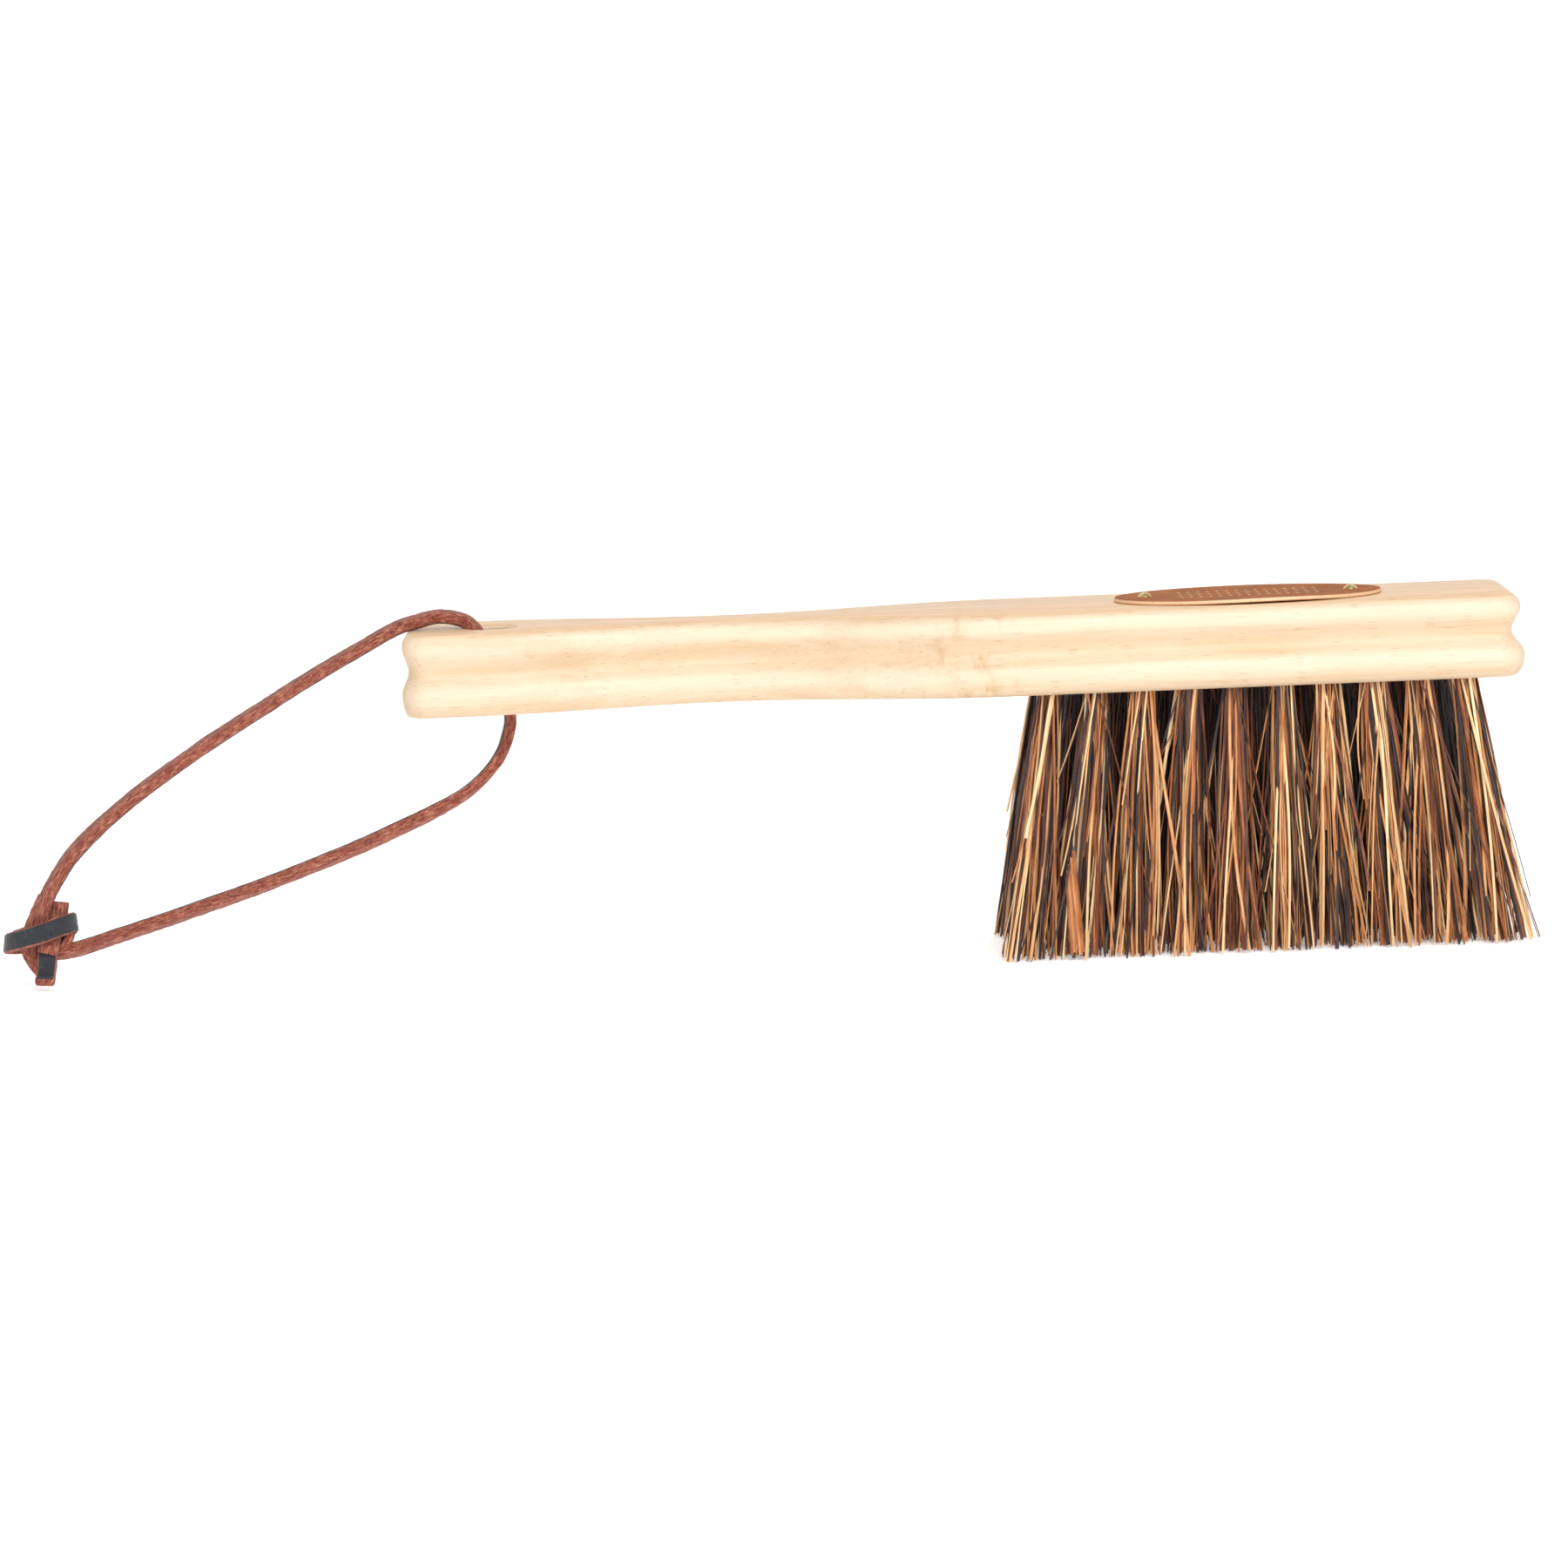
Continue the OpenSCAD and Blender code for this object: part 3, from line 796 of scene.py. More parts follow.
@dataclass
class TuftField:
    """Four rows of fibre tufts that lean apart towards their tips. Sizes are in millimetres.

    Of all the fibres, crossing_share lean across their tuft and short_share end above the ground, at a
    height within short_z. In a tuft between its row's ends, stray_share land to one side, at a distance
    within stray. In a row's last tuft, flare_share lean out by up to flare. Each entry of tones holds a
    running share of the fibres, then their lowest and highest tone.
    """

    under_z: float = 71.0
    first_x: float = 23.3
    field_l: float = 110.7
    row_pitch: float = 10.8
    lean_butt: float = 9.6
    tip_field_l: float = 127.6
    side_gain: float = 3.2
    root_r: float = 3.9
    tip_r: float = 6.9
    hole_d: float = 8.0
    hole_depth: float = 14.0
    first_tip_x: float = 8.2
    half_reach: float = 27.9
    crossing_share: float = 0.26
    flare_share: float = 0.4
    flare: float = 4.5
    stray_share: float = 0.07
    stray: tuple[float, float] = (8, 17)
    short_share: float = 0.13
    short_z: tuple[float, float] = (4, 26)
    wisps: int = 3
    seed: int = 11
    sides: int = 6
    segments: int = 9
    tones: tuple[Point, ...] = ((0.21, 0.0, 0.24), (0.5, 0.3, 0.52), (0.81, 0.56, 0.8), (1.0, 0.84, 1.0))
    rows: tuple[Row, ...] = (
        Row("tuft_front", "fibres_front", -1.5, 10, 0.0, 84, 1.0),
        # The inner rows keep 0.42 of their tone: painted shade, as they stand in the outer rows' shadow
        Row("tuft_front_inner", "fibres_front_inner", -0.5, 9, 0.5, 60, 0.42),
        Row("tuft_back_inner", "fibres_back_inner", 0.5, 9, 0.5, 60, 0.42),
        Row("tuft_back", "fibres_back", 1.5, 10, 0.0, 84, 1.0),
    )

    def axis(self, row: Row, index: int) -> tuple[Vector, Vector]:
        """Where a tuft leaves the stock and where its axis meets the ground, in millimetres."""
        share = (index - 1 + row.shift) / 9
        root = Vector((self.first_x + self.field_l * share, row.place * self.row_pitch, self.under_z))
        tip_x = self.first_x - self.lean_butt + self.tip_field_l * share
        return root, Vector((tip_x, row.place * (self.row_pitch + self.side_gain), 0))

    def hole_cutters(self) -> BMesh:
        """Builds the cylinders that cut the tufts' holes, each along its tuft's axis."""
        bm = bmesh.new()
        over, radius = 1.0, self.hole_d / 2 * MM
        for row in self.rows:
            for index in range(1, row.count + 1):
                root, tip = self.axis(row, index)
                inward = (root - tip).normalized()
                turn = Axis.Z.value.rotation_difference(inward).to_matrix().to_4x4()
                middle = (root + inward * (self.hole_depth - over) / 2) * MM
                bmesh.ops.create_cone(
                    bm, cap_ends=True, segments=24, radius1=radius, radius2=radius,
                    depth=(self.hole_depth + over) * MM, matrix=Matrix.Translation(middle) @ turn,
                )
        return bm

    def template(self) -> bpy.types.Mesh:
        """Builds one straight fibre: a ring for each station, closed at both ends."""
        bm = bmesh.new()
        bmesh.ops.create_circle(bm, cap_ends=True, segments=self.sides, radius=1.0)
        circle = [vert.co.copy() for vert in bm.verts]
        loft(bm, [[Vector((p.x, p.y, station)) for p in circle] for station in range(1, self.segments + 1)])
        uv = bm.loops.layers.uv.new("strand")
        for face in bm.faces:
            turns = [(math.atan2(loop.vert.co.y, loop.vert.co.x) / math.tau) % 1 for loop in face.loops]
            wraps = max(turns) - min(turns) > 0.5
            for loop, turn in zip(face.loops, turns):
                loop[uv].uv = (turn + 1 if wraps and turn < 0.5 else turn, loop.vert.co.z)
        bmesh.ops.recalc_face_normals(bm, faces=bm.faces)
        mesh = bpy.data.meshes.new("fibre")
        bm.to_mesh(mesh)
        bm.free()
        return mesh

    def tone(self, rng: random.Random) -> float:
        """Picks a fibre's tone: dark, red-brown, tan or light tan."""
        pick = rng.random()
        low, high = next((low, high) for share, low, high in self.tones if pick < share)
        return rng.uniform(low, high)

    def fibre_line(self, rng: random.Random, root: Vector, tip: Vector, edge: int) -> list[Vector]:
        """Picks the line of one fibre, from inside its hole to its tip.

        Args:
            rng: The tuft's own random numbers.
            root: The tuft's mouth in millimetres.
            tip: The point where its axis meets the ground.
            edge: -1 for the first tuft of a row, 1 for the last and 0 between them.

        Returns:
            Points in millimetres, evenly spaced.
        """
        angle, reach = rng.uniform(0, math.tau), math.sqrt(rng.random())
        start = root + Vector((math.cos(angle), math.sin(angle), 0)) * (self.root_r - 0.5) * reach
        crossing = rng.random() < self.crossing_share
        spread_angle = rng.uniform(0, math.tau) if crossing else angle + rng.gauss(0, 0.5)
        spread = self.tip_r * (rng.uniform(0.6, 1.7) if crossing else min(1.15, reach + rng.gauss(0, 0.16)))
        end = tip + Vector((math.cos(spread_angle), 0.8 * math.sin(spread_angle), 0)) * spread
        if edge > 0 and rng.random() < self.flare_share:
            end.x += rng.uniform(0, self.flare)
        elif edge == 0 and rng.random() < self.stray_share:
            end.x += rng.choice((-1, 1)) * rng.uniform(*self.stray)
        end.x = max(self.first_tip_x, end.x)
        short = rng.random() < self.short_share
        end.z = rng.uniform(*self.short_z) if short else abs(rng.gauss(0, 0.45)) + 0.15
        if short:
            end = start.lerp(end, 1 - end.z / self.under_z)
        along = end - start
        bow = Vector((rng.gauss(0, 1.0), rng.gauss(0, 0.7), 0))
        hook = Vector((rng.gauss(0, 0.8), rng.gauss(0, 0.6), 0))
        wave, phase = rng.uniform(0.0, 0.35), rng.uniform(0, math.tau)
        line = [start + Vector((0, 0, 5.0))]
        for i in range(self.segments):
            t = i / (self.segments - 1)
            ripple = Vector((wave * math.sin(phase + 7 * t), wave * math.cos(phase + 6 * t), 0))
            sway = bow * math.sin(math.pi * t) + hook * t**3 + ripple * t
            line.append(start + along * t + sway * (0.8 if short else 1.0))
        for p in line:
            p.y = max(-self.half_reach, min(self.half_reach, p.y))
        return line

    def grow(self, bm: BMesh, template: bpy.types.Mesh, fibre: Fibre) -> int:
        """Adds one fibre to a mesh, bent along its line.

        Args:
            bm: The tuft's mesh.
            template: The straight fibre.
            fibre: The fibre's line and section.

        Returns:
            The number of faces added.
        """
        first_vert, first_face = len(bm.verts), len(bm.faces)
        bm.from_mesh(template)
        bm.verts.ensure_lookup_table()
        bm.faces.ensure_lookup_table()
        line, count, frames = fibre.line, len(fibre.line), []
        for i, p in enumerate(line):
            along = (line[min(i + 1, count - 1)] - line[max(i - 1, 0)]).normalized()
            side = Axis.X.value.cross(along).normalized()
            front = along.cross(side)
            frames.append((p, front, side, lerp(1.0, fibre.end_share, i / (count - 1))))
        c, s = math.cos(fibre.twist), math.sin(fibre.twist)
        for v in bm.verts[first_vert:]:
            p, front, side, share = frames[round(v.co.z)]
            turn = math.atan2(v.co.y, v.co.x)
            a = math.cos(turn) * fibre.width / 2 * share
            b = math.sin(turn) * fibre.width / 2 * fibre.flat * share
            v.co = (p + front * (a * c - b * s) + side * (a * s + b * c)) * MM
            v.co.z = max(v.co.z, 0.0)
        uv = bm.loops.layers.uv.active
        length, offset = sum((b - a).length for a, b in zip(line, line[1:])), first_face * 0.377
        for face in bm.faces[first_face:]:
            for loop in face.loops:
                u, station = loop[uv].uv
                loop[uv].uv = (u * fibre.width * 2.4 + offset, station / (count - 1) * length + offset * 7)
        return len(bm.faces) - first_face

    def stiff(self, rng: random.Random, row: Row, line: list[Vector]) -> Fibre:
        """Picks one of a tuft's stiff fibres."""
        # The row's share darkens the tone: painted shade on the inner rows
        tone = self.tone(rng) * row.light
        widest = 1.0 if tone > 0.8 else 1.35
        width = min(widest, max(0.42, rng.lognormvariate(-0.25, 0.34)))
        flat, twist = rng.uniform(0.45, 0.85), rng.uniform(0, math.pi)
        return Fibre(line, width, flat, twist, rng.uniform(0.6, 1.0), tone)

    def wisp(self, rng: random.Random, line: list[Vector]) -> Fibre:
        """Picks a thin fibre whose lower part curls aside."""
        start = rng.randint(4, 7)
        curl = rng.uniform(-2.4, 2.4)
        for i in range(start, len(line)):
            line[i].x += curl * ((i - start + 1) / (len(line) - start)) ** 2
        return Fibre(line, rng.uniform(0.3, 0.42), 0.8, 0.0, 0.5, rng.uniform(0.6, 1.0))

    def bark(self) -> list[Fibre]:
        """Builds a strip of bark in front of the first tuft, as fibres that lie edge to edge."""
        strip = []
        for k, tone in enumerate((0.5, 0.64, 0.54, 0.68, 0.58)):
            low = Vector((26.2 + 0.75 * k, -27.4 + 0.12 * k, 1.6 + 0.7 * (k % 3)))
            high = Vector((25.6 + 0.5 * k, -23.6, 22 + 1.8 * k))
            line = [high.lerp(low, i / self.segments) for i in range(self.segments + 1)]
            strip.append(Fibre(line, 1.2, 0.5, 0.2 * k, 1.1, tone))
        return strip

    def tuft(self, row: Row, index: int, template: bpy.types.Mesh, material: Material) -> bpy.types.Object:
        """Builds one tuft as its separate fibres."""
        rng = random.Random(f"{self.seed} {row.name} {index}")
        root, tip = self.axis(row, index)
        edge = -1 if index == 1 else 1 if index == row.count else 0
        fibres = [self.stiff(rng, row, self.fibre_line(rng, root, tip, edge)) for _ in range(row.fibres)]
        fibres += [self.wisp(rng, self.fibre_line(rng, root, tip, edge)) for _ in range(self.wisps)]
        if row == self.rows[0] and index == 1:
            fibres += self.bark()
        bm = bmesh.new()
        bm.loops.layers.uv.new("strand")
        tones: list[float] = []
        for fibre in fibres:
            tones += [fibre.tone] * self.grow(bm, template, fibre)
        obj = new_object(f"{row.piece}_{index}", bm, material, 60)
        set_attribute(obj.data, "tone", "FACE", tones)
        dress(obj, f"{row.name}_{index}")
        return obj

    def build(self, finish: PalmFibreFinish) -> list[bpy.types.Object]:
        """Builds and dresses every tuft."""
        template, material = self.template(), finish.build()
        places = [(row, index) for row in self.rows for index in range(1, row.count + 1)]
        tufts = [self.tuft(row, index, template, material) for row, index in places]
        bpy.data.meshes.remove(template)
        return tufts


# ---- Label ----


@dataclass
class Label:
    """The oval leather label, lifted a little along its front edge. Sizes are in millimetres."""

    length: float = 72.0
    width: float = 42.0
    thickness: float = 1.2
    x: float = 78.0
    under_z: float = 93.0
    lift: float = 0.6
    pin_offset: float = 27.7
    edge_r: float = 0.3
    around: int = 128
    rings: int = 22

    def raised(self, x: float, y: float) -> float:
        """How far the label stands off the wood at a point of its own plan."""
        u, v = x / (self.length / 2), y / (self.width / 2)
        front = max(0.0, -v - 0.55) / 0.45
        near_pin = math.exp(-(((abs(x) - self.pin_offset) / 7) ** 2) - (y / 9) ** 2)
        return self.lift * front**2 * (0.55 + 0.45 * math.sin(2.2 * u + 0.6)) * (1 - near_pin)

    def ring(self, share: float, inset: float, height: float) -> list[Vector]:
        """An oval at a share of the label's size, inset and at a height over its underside, in metres."""
        ring = []
        for i in range(self.around):
            a = math.tau * i / self.around
            x = (self.length / 2 * share - inset) * math.cos(a)
            y = (self.width / 2 * share - inset) * math.sin(a)
            ring.append(Vector((self.x + x, y, self.under_z + height + self.raised(x, y))) * MM)
        return ring

    def build(self, finish: LabelLeatherFinish) -> bpy.types.Object:
        """Builds and dresses the label, from the middle of its underside round to its top."""
        t, r = self.thickness, self.edge_r
        shares = [i / self.rings for i in range(1, self.rings)]
        profile = [(share, 0.0, 0.0) for share in shares]
        profile += [(1.0, r, 0.0), (1.0, 0.0, r), (1.0, 0.0, t - r), (1.0, r, t)]
        profile += [(share, 0.0, t) for share in reversed(shares)]
        first, *rings = (self.ring(*station) for station in profile)
        bm = bmesh.new()
        bm.faces.new([bm.verts.new(point) for point in first])
        loft(bm, rings)
        obj = new_object("leather_label", bm, finish.build(), 50)
        heights = [profile[v.index // self.around][2] for v in obj.data.vertices]
        set_attribute(obj.data, "cut_edge", "POINT", [1.0 if 0 < h < t else 0.0 for h in heights])
        dress(obj, "label")
        return obj


# ---- Lace ----


# A strap's section, as shares of its half width and half thickness; the grain side is at 1
SECTION = (
    (1, 0.62), (0.8, 1), (0.3, 1), (-0.3, 1), (-0.8, 1), (-1, 0.62), (-1, 0),
    (-1, -0.62), (-0.8, -1), (-0.3, -1), (0.3, -1), (0.8, -1), (1, -0.62), (1, 0),
)


@dataclass(frozen=True)
class Strap:
    """A length of lace: its line, where its grain side faces, and its section. Sizes are in millimetres.

    Attributes:
        line: Points of its centre line.
        facing: Direction of the grain side at each of a few even stations along it.
        width: Width of the grain side.
        thickness: Thickness between grain and flesh.
        ragged: How far its cut corners wander.
        closed: Whether its end joins its start.
    """

    line: tuple[Point, ...]
    facing: tuple[Point, ...]
    width: float = 4.9
    thickness: float = 3.2
    ragged: float = 0.16
    closed: bool = False

    def moved(self, by: Point) -> "Strap":
        """The same strap, moved."""
        return replace(self, line=tuple((x + by[0], y + by[1], z + by[2]) for x, y, z in self.line))

    def facing_at(self, t: float) -> Vector:
        """The grain side's direction at a share of the length."""
        place = t * (len(self.facing) - 1)
        i = min(int(place), len(self.facing) - 2)
        return Vector(self.facing[i]).lerp(Vector(self.facing[i + 1]), place - i)

    def centre_line(self, step: float = 1.0) -> list[Vector]:
        """The centre line in millimetres, at an even step."""
        return spline([Vector(p) for p in self.line], step)

    def add_to(self, bm: BMesh, seed: int) -> None:
        """Sweeps the strap into a mesh that carries a strand map and a grain mark.

        Args:
            bm: The mesh.
            seed: Seed of its ragged corners.
        """
        rng = random.Random(seed)
        uv = bm.loops.layers.uv.get("strand") or bm.loops.layers.uv.new("strand")
        grain = bm.verts.layers.float.get("grain") or bm.verts.layers.float.new("grain")
        points = self.centre_line(0.9)
        count, rings, reach = len(points), [], [0.0]
        drift = [0.0] * len(SECTION)
        for i, p in enumerate(points):
            if i:
                reach.append(reach[-1] + (p - points[i - 1]).length)
            if self.closed:
                along = (points[(i + 1) % (count - 1)] - points[(i - 1) % (count - 1)]).normalized()
            else:
                along = (points[min(i + 1, count - 1)] - points[max(i - 1, 0)]).normalized()
            out = self.facing_at(i / (count - 1))
            out = (out - along * out.dot(along)).normalized()
            side = along.cross(out)
            ring = []
            for k, (a, b) in enumerate(SECTION):
                wander = 0.7 * drift[k] + rng.gauss(0, self.ragged * 0.5)
                drift[k] = max(-self.ragged, min(self.ragged, wander))
                w = self.width / 2 + drift[k]
                t = self.thickness / 2 + (0.35 if b <= 0 else 0.1) * drift[k]
                v = bm.verts.new((p + side * a * w + out * b * t) * MM)
                v.co.z = max(v.co.z, 0.0)
                v[grain] = 1.0 if b >= 0.9 else 0.0
                ring.append(v)
            rings.append(ring)
        if self.closed:
            rings[-1] = rings[0]
        n = len(SECTION)
        around = [0.0]
        for k in range(n):
            (a0, b0), (a1, b1) = SECTION[k], SECTION[(k + 1) % n]
            step = math.hypot((a1 - a0) * self.width / 2, (b1 - b0) * self.thickness / 2)
            around.append(around[-1] + step)
        for i in range(count - 1):
            for k in range(n):
                j = (k + 1) % n
                face = bm.faces.new((rings[i][k], rings[i][j], rings[i + 1][j], rings[i + 1][k]))
                spots = ((k, i), (k + 1, i), (k + 1, i + 1), (k, i + 1))
                for loop, (turn, station) in zip(face.loops, spots):
                    loop[uv].uv = (around[turn] + seed * 3.1, reach[station] + seed * 17.0)
        if self.closed:
            for v in [v for v in bm.verts if not v.link_faces]:
                bm.verts.remove(v)
            return
        for ring, deep in ((rings[0], -1), (rings[-1], 1)):
            face = bm.faces.new(ring)
            centre = face.calc_center_median()
            for loop in face.loops:
                offset = (loop.vert.co - centre) / MM
                loop[uv].uv = (offset.dot(Vector((0.6, 0.8, 0))) + seed, offset.z + deep * 40)


UPPER_RUN = Strap(
    line=(
        (-126, 0, 82), (-127.8, 0, 87.5), (-130, 0, 92), (-132.6, 0, 94.7), (-137.2, 0, 96.2),
        (-141.5, 0, 96.3), (-146, -0.4, 95.3), (-151.5, -1, 93.8), (-159.9, -1.4, 89.5),
        (-174.3, -2, 81.9), (-188.7, -2.7, 73.6),
        (-203.2, -3.4, 65.1), (-217.7, -4.1, 55.7), (-229.9, -4.7, 46.9), (-240.5, -4.9, 37.4),
        (-245.5, -5, 30.9), (-249.2, -5, 24.5), (-251, -5, 18.3),
    ),
    facing=(
        (-1, 0.0, -0.2), (-0.3, 0.1, -1), (0.5, 0.15, -0.85), (0.5, 0.2, -0.85), (0.5, 0.22, -0.85),
        (0.55, 0.24, -0.8), (0.6, 0.26, -0.75), (0.8, 0.35, -0.6), (0.9, 0.45, -0.3),
    ),
)
LOWER_RUN = Strap(
    line=(
        (-126, 0, 82), (-124, 0, 76.5), (-122.3, 0, 71.2), (-122, 0, 67.5), (-122.7, 0, 64.2),
        (-124.4, 0, 59.6), (-127.4, 0, 55.1), (-132.4, -0.2, 50.2), (-138.5, -0.3, 46.2),
        (-148.1, -0.8, 41.7), (-162.5, -1.4, 35.7), (-176.9, -2, 30.4), (-191.2, -2.7, 25.5),
        (-205.5, -3.4, 21.1), (-219.8, -4.1, 16.8), (-231.7, -4.7, 13.4),
        (-238.9, -4.9, 11.3), (-245, -5, 10.1), (-248.6, -5, 9.9),
    ),
    facing=(
        (-1, -0.08, 0.0), (-1, -0.1, 0.2), (-0.9, 0.14, 0.5), (-0.4, 0.35, 0.9), (-0.4, 0.36, 0.95),
        (-0.35, 0.36, 0.95), (-0.3, 0.38, 0.95), (-0.3, 0.42, 0.95), (-0.3, 0.5, 0.95),
    ),
)


# The lengths of lace in the knot, from its middle: the end of the upper run, the fold beside it, the
# stub above the turn, the lump and the cut end below it, the core inside it and the lower run's end
STRANDS = (
    Strap(
        line=((0.4, 0, 5), (-1.4, 0, 0), (-3.3, 0.6, -4.6), (-2.4, 1.2, -7.8), (0.4, 1.6, -11.6)),
        facing=((0.8, 0.4, -0.3), (0.8, 0.6, 0), (0.3, 1, 0), (0.1, 1, 0.1)), width=4.4, thickness=2.6,
    ),
    Strap(
        line=((-3.8, 0.8, -1.6), (-2.7, 0.3, 0.9), (-0.7, 0.2, 5.2), (1.5, 0.4, 9.4)),
        facing=((0.6, 0.8, -0.3), (0.6, 0.8, -0.3), (0.7, 0.7, -0.4)), width=2.9, thickness=2.8, ragged=0.2,
    ),
    Strap(
        line=((5.5, 1.6, 7.6), (4.8, 1.2, 3.5), (2.6, 0.6, -1), (2.0, 0, -4.5)),
        facing=((0.2, 1, 0.1), (0.2, 1, 0), (0, 1, 0)), width=4.6, thickness=2.8,
    ),
    Strap(
        line=((3.0, -1.4, -1.5), (2.6, -2.6, -3.4), (2.2, -3.3, -4.6), (1.9, -3.5, -5.7)),
        facing=((0, 1, -0.2), (0, 1, -0.3), (0, 1, -0.1)), width=5.3, thickness=2.6, ragged=0.2,
    ),
    Strap(
        line=(
            (2.2, -1.9, -4.0), (1.8, -2.8, -7.4), (1.5, -3.2, -10.2), (1.2, -4.2, -12.1), (1.0, -5.9, -12.8),
        ),
        facing=((0, -1, 0.2), (-0.05, -1, 0.1), (-0.05, -1, 0.2), (0, -0.8, 0.6), (0, -0.6, 0.8)),
        width=5.1, thickness=2.7, ragged=0.14,
    ),
    Strap(
        line=((-6.6, 0, -2.6), (-2, 0.3, -1.2), (3, 0.3, 0.4), (6.6, 0, 1.6)),
        facing=((0, 1, 1), (0, 1, 1), (0, 1, 1)), width=5.6, thickness=4.6, ragged=0.12,
    ),
    Strap(
        line=((2.2, 0.4, -5.6), (4.6, 0.2, -5.0), (7.4, 0.3, -2.4), (7.8, 0.8, 0.6)),
        facing=((0, -0.3, 1), (-0.4, -0.3, 1), (-1, 0, 0.4), (-1, 0, 0)),
        width=4.2, thickness=2.6, ragged=0.12,
    ),
)


@dataclass
class Lace:
    """The lace's two free runs and the knot that ties them. Sizes are in millimetres."""

    width: float = 4.9
    turn_reach: tuple[float, float] = (9.0, 5.2)
    turn_steps: int = 24
    knot_at: Point = (-251.2, -5.0, 15.9)
    first_seed: int = 21

    def run(
        self, name: str, strap: Strap, node: str, seed: int, material: Material
    ) -> bpy.types.Object:
        """Args:
            name: The piece's name.
            strap: Its line and section.
            node: The CAD node it stands for.
            seed: Seed of its ragged corners.
            material: The leather.

        Returns:
            The run's object.
        """
        bm = bmesh.new()
        strap.add_to(bm, seed)
        obj = new_object(name, bm, material, 50)
        dress(obj, node)
        path = [p * MM for p in strap.centre_line()]
        return obj

    def turn(self) -> Strap:
        """The turn of lace that wraps the knot, higher towards the head, from the knot's middle."""
        rx, ry = self.turn_reach
        line, facing = [], []
        for i in range(self.turn_steps + 1):
            a = math.tau * i / self.turn_steps - math.pi / 2
            x, y = rx * math.cos(a), ry * math.sin(a)
            line.append((x, y, 0.29 * x + 0.5 * math.cos(2 * a) - 0.26 * y - 1.0))
            facing.append((math.cos(a), 1.5 * math.sin(a), 0.1 + 0.42 * max(0.0, -math.sin(a))))
        return Strap(tuple(line), tuple(facing), width=5.2, thickness=2.3, ragged=0.08, closed=True)

    def knot(self, material: Material) -> bpy.types.Object:
        """Builds the overhand knot."""
        bm = bmesh.new()
        for seed, strap in enumerate((self.turn(), *STRANDS), start=self.first_seed):
            strap.moved(self.knot_at).add_to(bm, seed)
        obj = new_object("lace_overhand_knot", bm, material, 50)
        dress(obj, "lace_knot")
        return obj

    def build(self, finish: LaceLeatherFinish) -> list[bpy.types.Object]:
        """Builds and dresses the lace."""
        material = finish.build()
        knot = self.knot(material)
        return [
            knot,
            self.run("lace_run_upper", UPPER_RUN, "lace_upper", 5, material),
            self.run("lace_run_lower", LOWER_RUN, "lace_lower", 6, material),
        ]


# ---- CAD nodes that stay ----


@dataclass(frozen=True)
class KeptNodes:
    """CAD nodes that are shown as they are, in better finishes."""

    pins: tuple[str, ...] = ("label_pin_butt", "label_pin_head")
    anchors: str = "tuft_anchors"

    def dress(self, brass: BrassFinish, steel: SteelFinish) -> None:
        """Gives each kept node its finish."""
        for names, material in ((self.pins, brass.build()), ((self.anchors,), steel.build())):
            for name in names:
                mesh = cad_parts[name].data
                mesh.materials.clear()
                mesh.materials.append(material)
                log.info("%s is the CAD node in %s", name, material.name)


# ---- Studio ----


@dataclass(frozen=True)
class SoftLight:
    """A square soft light that points at the brush. Sizes are in millimetres, its power in watts."""

    name: str
    place: Point
    size: float
    power: float

    def build(self) -> None:
        """Builds the light."""
        data = bpy.data.lights.new(self.name, "AREA")
        data.energy, data.size = self.power, self.size * MM
        obj = bpy.data.objects.new(self.name, data)
        obj.location = Vector(self.place) * MM
        aim = Vector((0, 0, 60 * MM)) - obj.location
        obj.rotation_euler = aim.to_track_quat("-Z", "Y").to_euler()
        bpy.context.scene.collection.objects.link(obj)


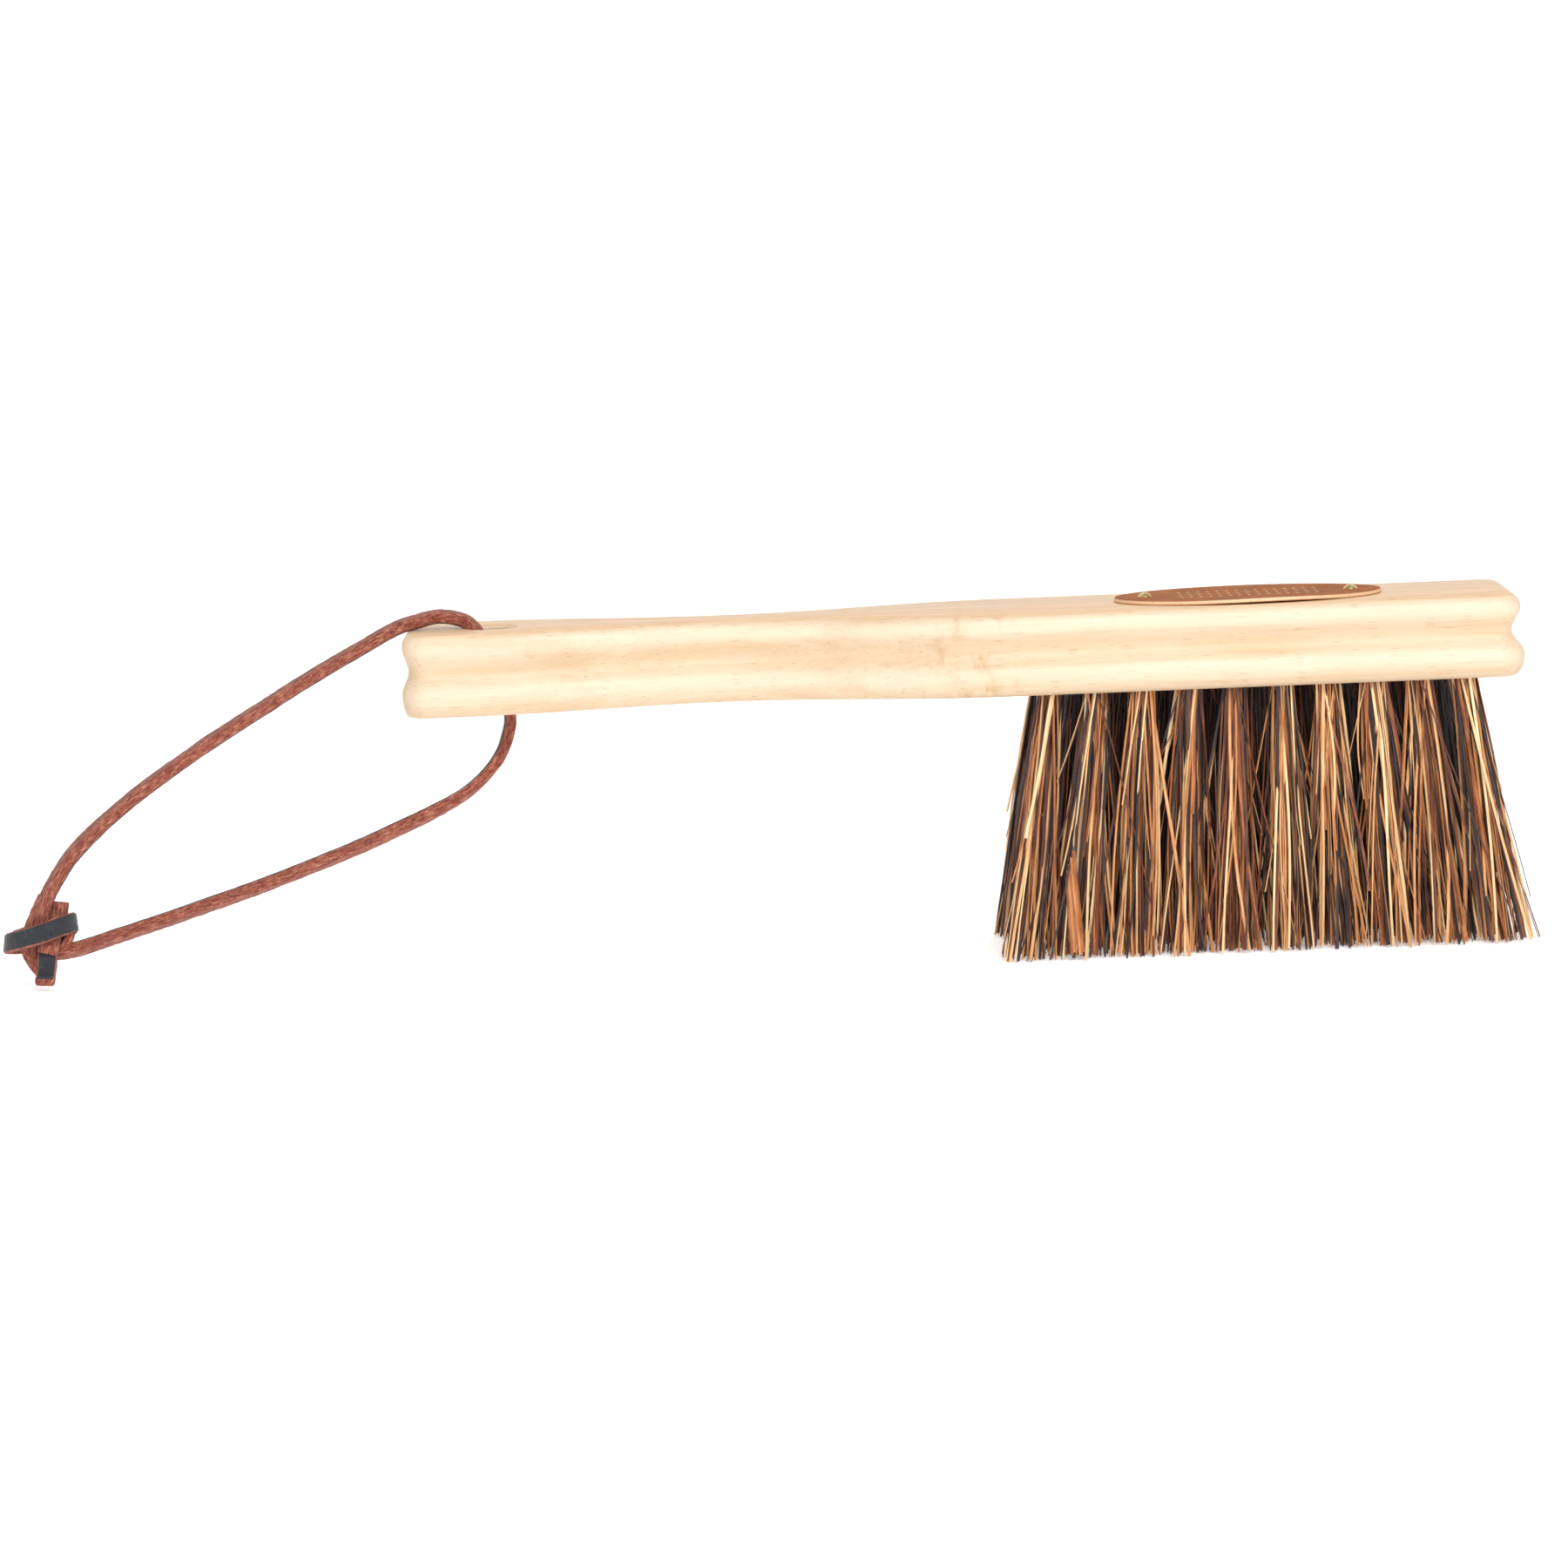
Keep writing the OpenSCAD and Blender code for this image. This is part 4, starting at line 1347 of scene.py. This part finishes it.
@dataclass
class Studio:
    """A pale sweep, a white surround and soft lights. Sizes are in millimetres."""

    half_width: float = 8000.0
    front: float = -9000.0
    back: float = 1500.0
    height: float = 2600.0
    bend_r: float = 900.0
    bend_steps: int = 16
    surround: float = 0.52
    lights: tuple[SoftLight, ...] = (
        SoftLight("key", (260, -1000, 960), 750, 12.6),
        SoftLight("fill", (-900, -1200, 700), 500, 1.6),
    )

    def sweep(self, finish: SweepFinish) -> bpy.types.Object:
        """Builds the floor that curves up into a backdrop."""
        section = [(self.front, 0.0), (0.0, 0.0)]
        for k in range(self.bend_steps + 1):
            a = math.radians(90 * k / self.bend_steps - 90)
            y = self.back - self.bend_r + self.bend_r * math.cos(a)
            section.append((y, self.bend_r + self.bend_r * math.sin(a)))
        section.append((self.back, self.height))
        bm = bmesh.new()
        line = [bm.verts.new(Vector((-self.half_width, y, z)) * MM) for y, z in section]
        edges = [bm.edges.new(pair) for pair in zip(line, line[1:])]
        grown = bmesh.ops.extrude_edge_only(bm, edges=edges)["geom"]
        far = [vert for vert in grown if isinstance(vert, bmesh.types.BMVert)]
        bmesh.ops.translate(bm, verts=far, vec=(2 * self.half_width * MM, 0, 0))
        obj = new_object("sweep", bm, finish.build(), 60)
        return obj

    def build(self, finish: SweepFinish) -> None:
        """Builds the sweep, the surround and the lights."""
        self.sweep(finish)
        world = bpy.data.worlds.new("surround")
        world.use_nodes = True
        background = world.node_tree.nodes["Background"]
        background.inputs["Color"].default_value = srgb("#FFFFFF")
        background.inputs["Strength"].default_value = self.surround
        bpy.context.scene.world = world
        for light in self.lights:
            light.build()
        bpy.context.scene.view_settings.view_transform = "Standard"


@dataclass
class Camera:
    """The main view: from the front, a little above, turned a little about its own axis."""

    lens: float = 135.0
    sensor: float = 36.0
    distance: float = 1590.2
    look: Point = (-48.85, 0.0, 47.22)
    elevation: float = 7.32
    roll: float = 2.31

    def build(self) -> bpy.types.Object:
        """Builds the camera and makes it the scene's."""
        data = bpy.data.cameras.new("main")
        data.lens, data.sensor_width, data.clip_end = self.lens, self.sensor, 20
        data.dof.use_dof = False
        obj = bpy.data.objects.new("main", data)
        tilt = math.radians(self.elevation)
        back = Axis.Z.value * math.sin(tilt) - Axis.Y.value * math.cos(tilt)
        obj.location = (Vector(self.look) + back * self.distance) * MM
        obj.rotation_mode = "QUATERNION"
        roll = Quaternion(Axis.Z.value, -math.radians(self.roll))
        obj.rotation_quaternion = (-back).to_track_quat("-Z", "Y") @ roll
        bpy.context.scene.collection.objects.link(obj)
        bpy.context.scene.camera = obj
        return obj


@dataclass
class HandBrush:
    """The whole brush, from its sub-assemblies."""

    stock: Stock = field(default_factory=Stock)
    tufts: TuftField = field(default_factory=TuftField)
    label: Label = field(default_factory=Label)
    lace: Lace = field(default_factory=Lace)
    kept: KeptNodes = field(default_factory=KeptNodes)

    def build(self) -> None:
        """Builds and dresses every piece."""
        self.stock.build(BeechFinish(), self.tufts.hole_cutters())
        self.tufts.build(PalmFibreFinish())
        self.label.build(LabelLeatherFinish())
        self.lace.build(LaceLeatherFinish())
        self.kept.dress(BrassFinish(), SteelFinish())


def main() -> None:
    """Builds the scene."""
    logging.basicConfig(level=logging.INFO)
    HandBrush().build()
    Studio().build(SweepFinish())
    Camera().build()


if __name__ == "__main__":
    main()
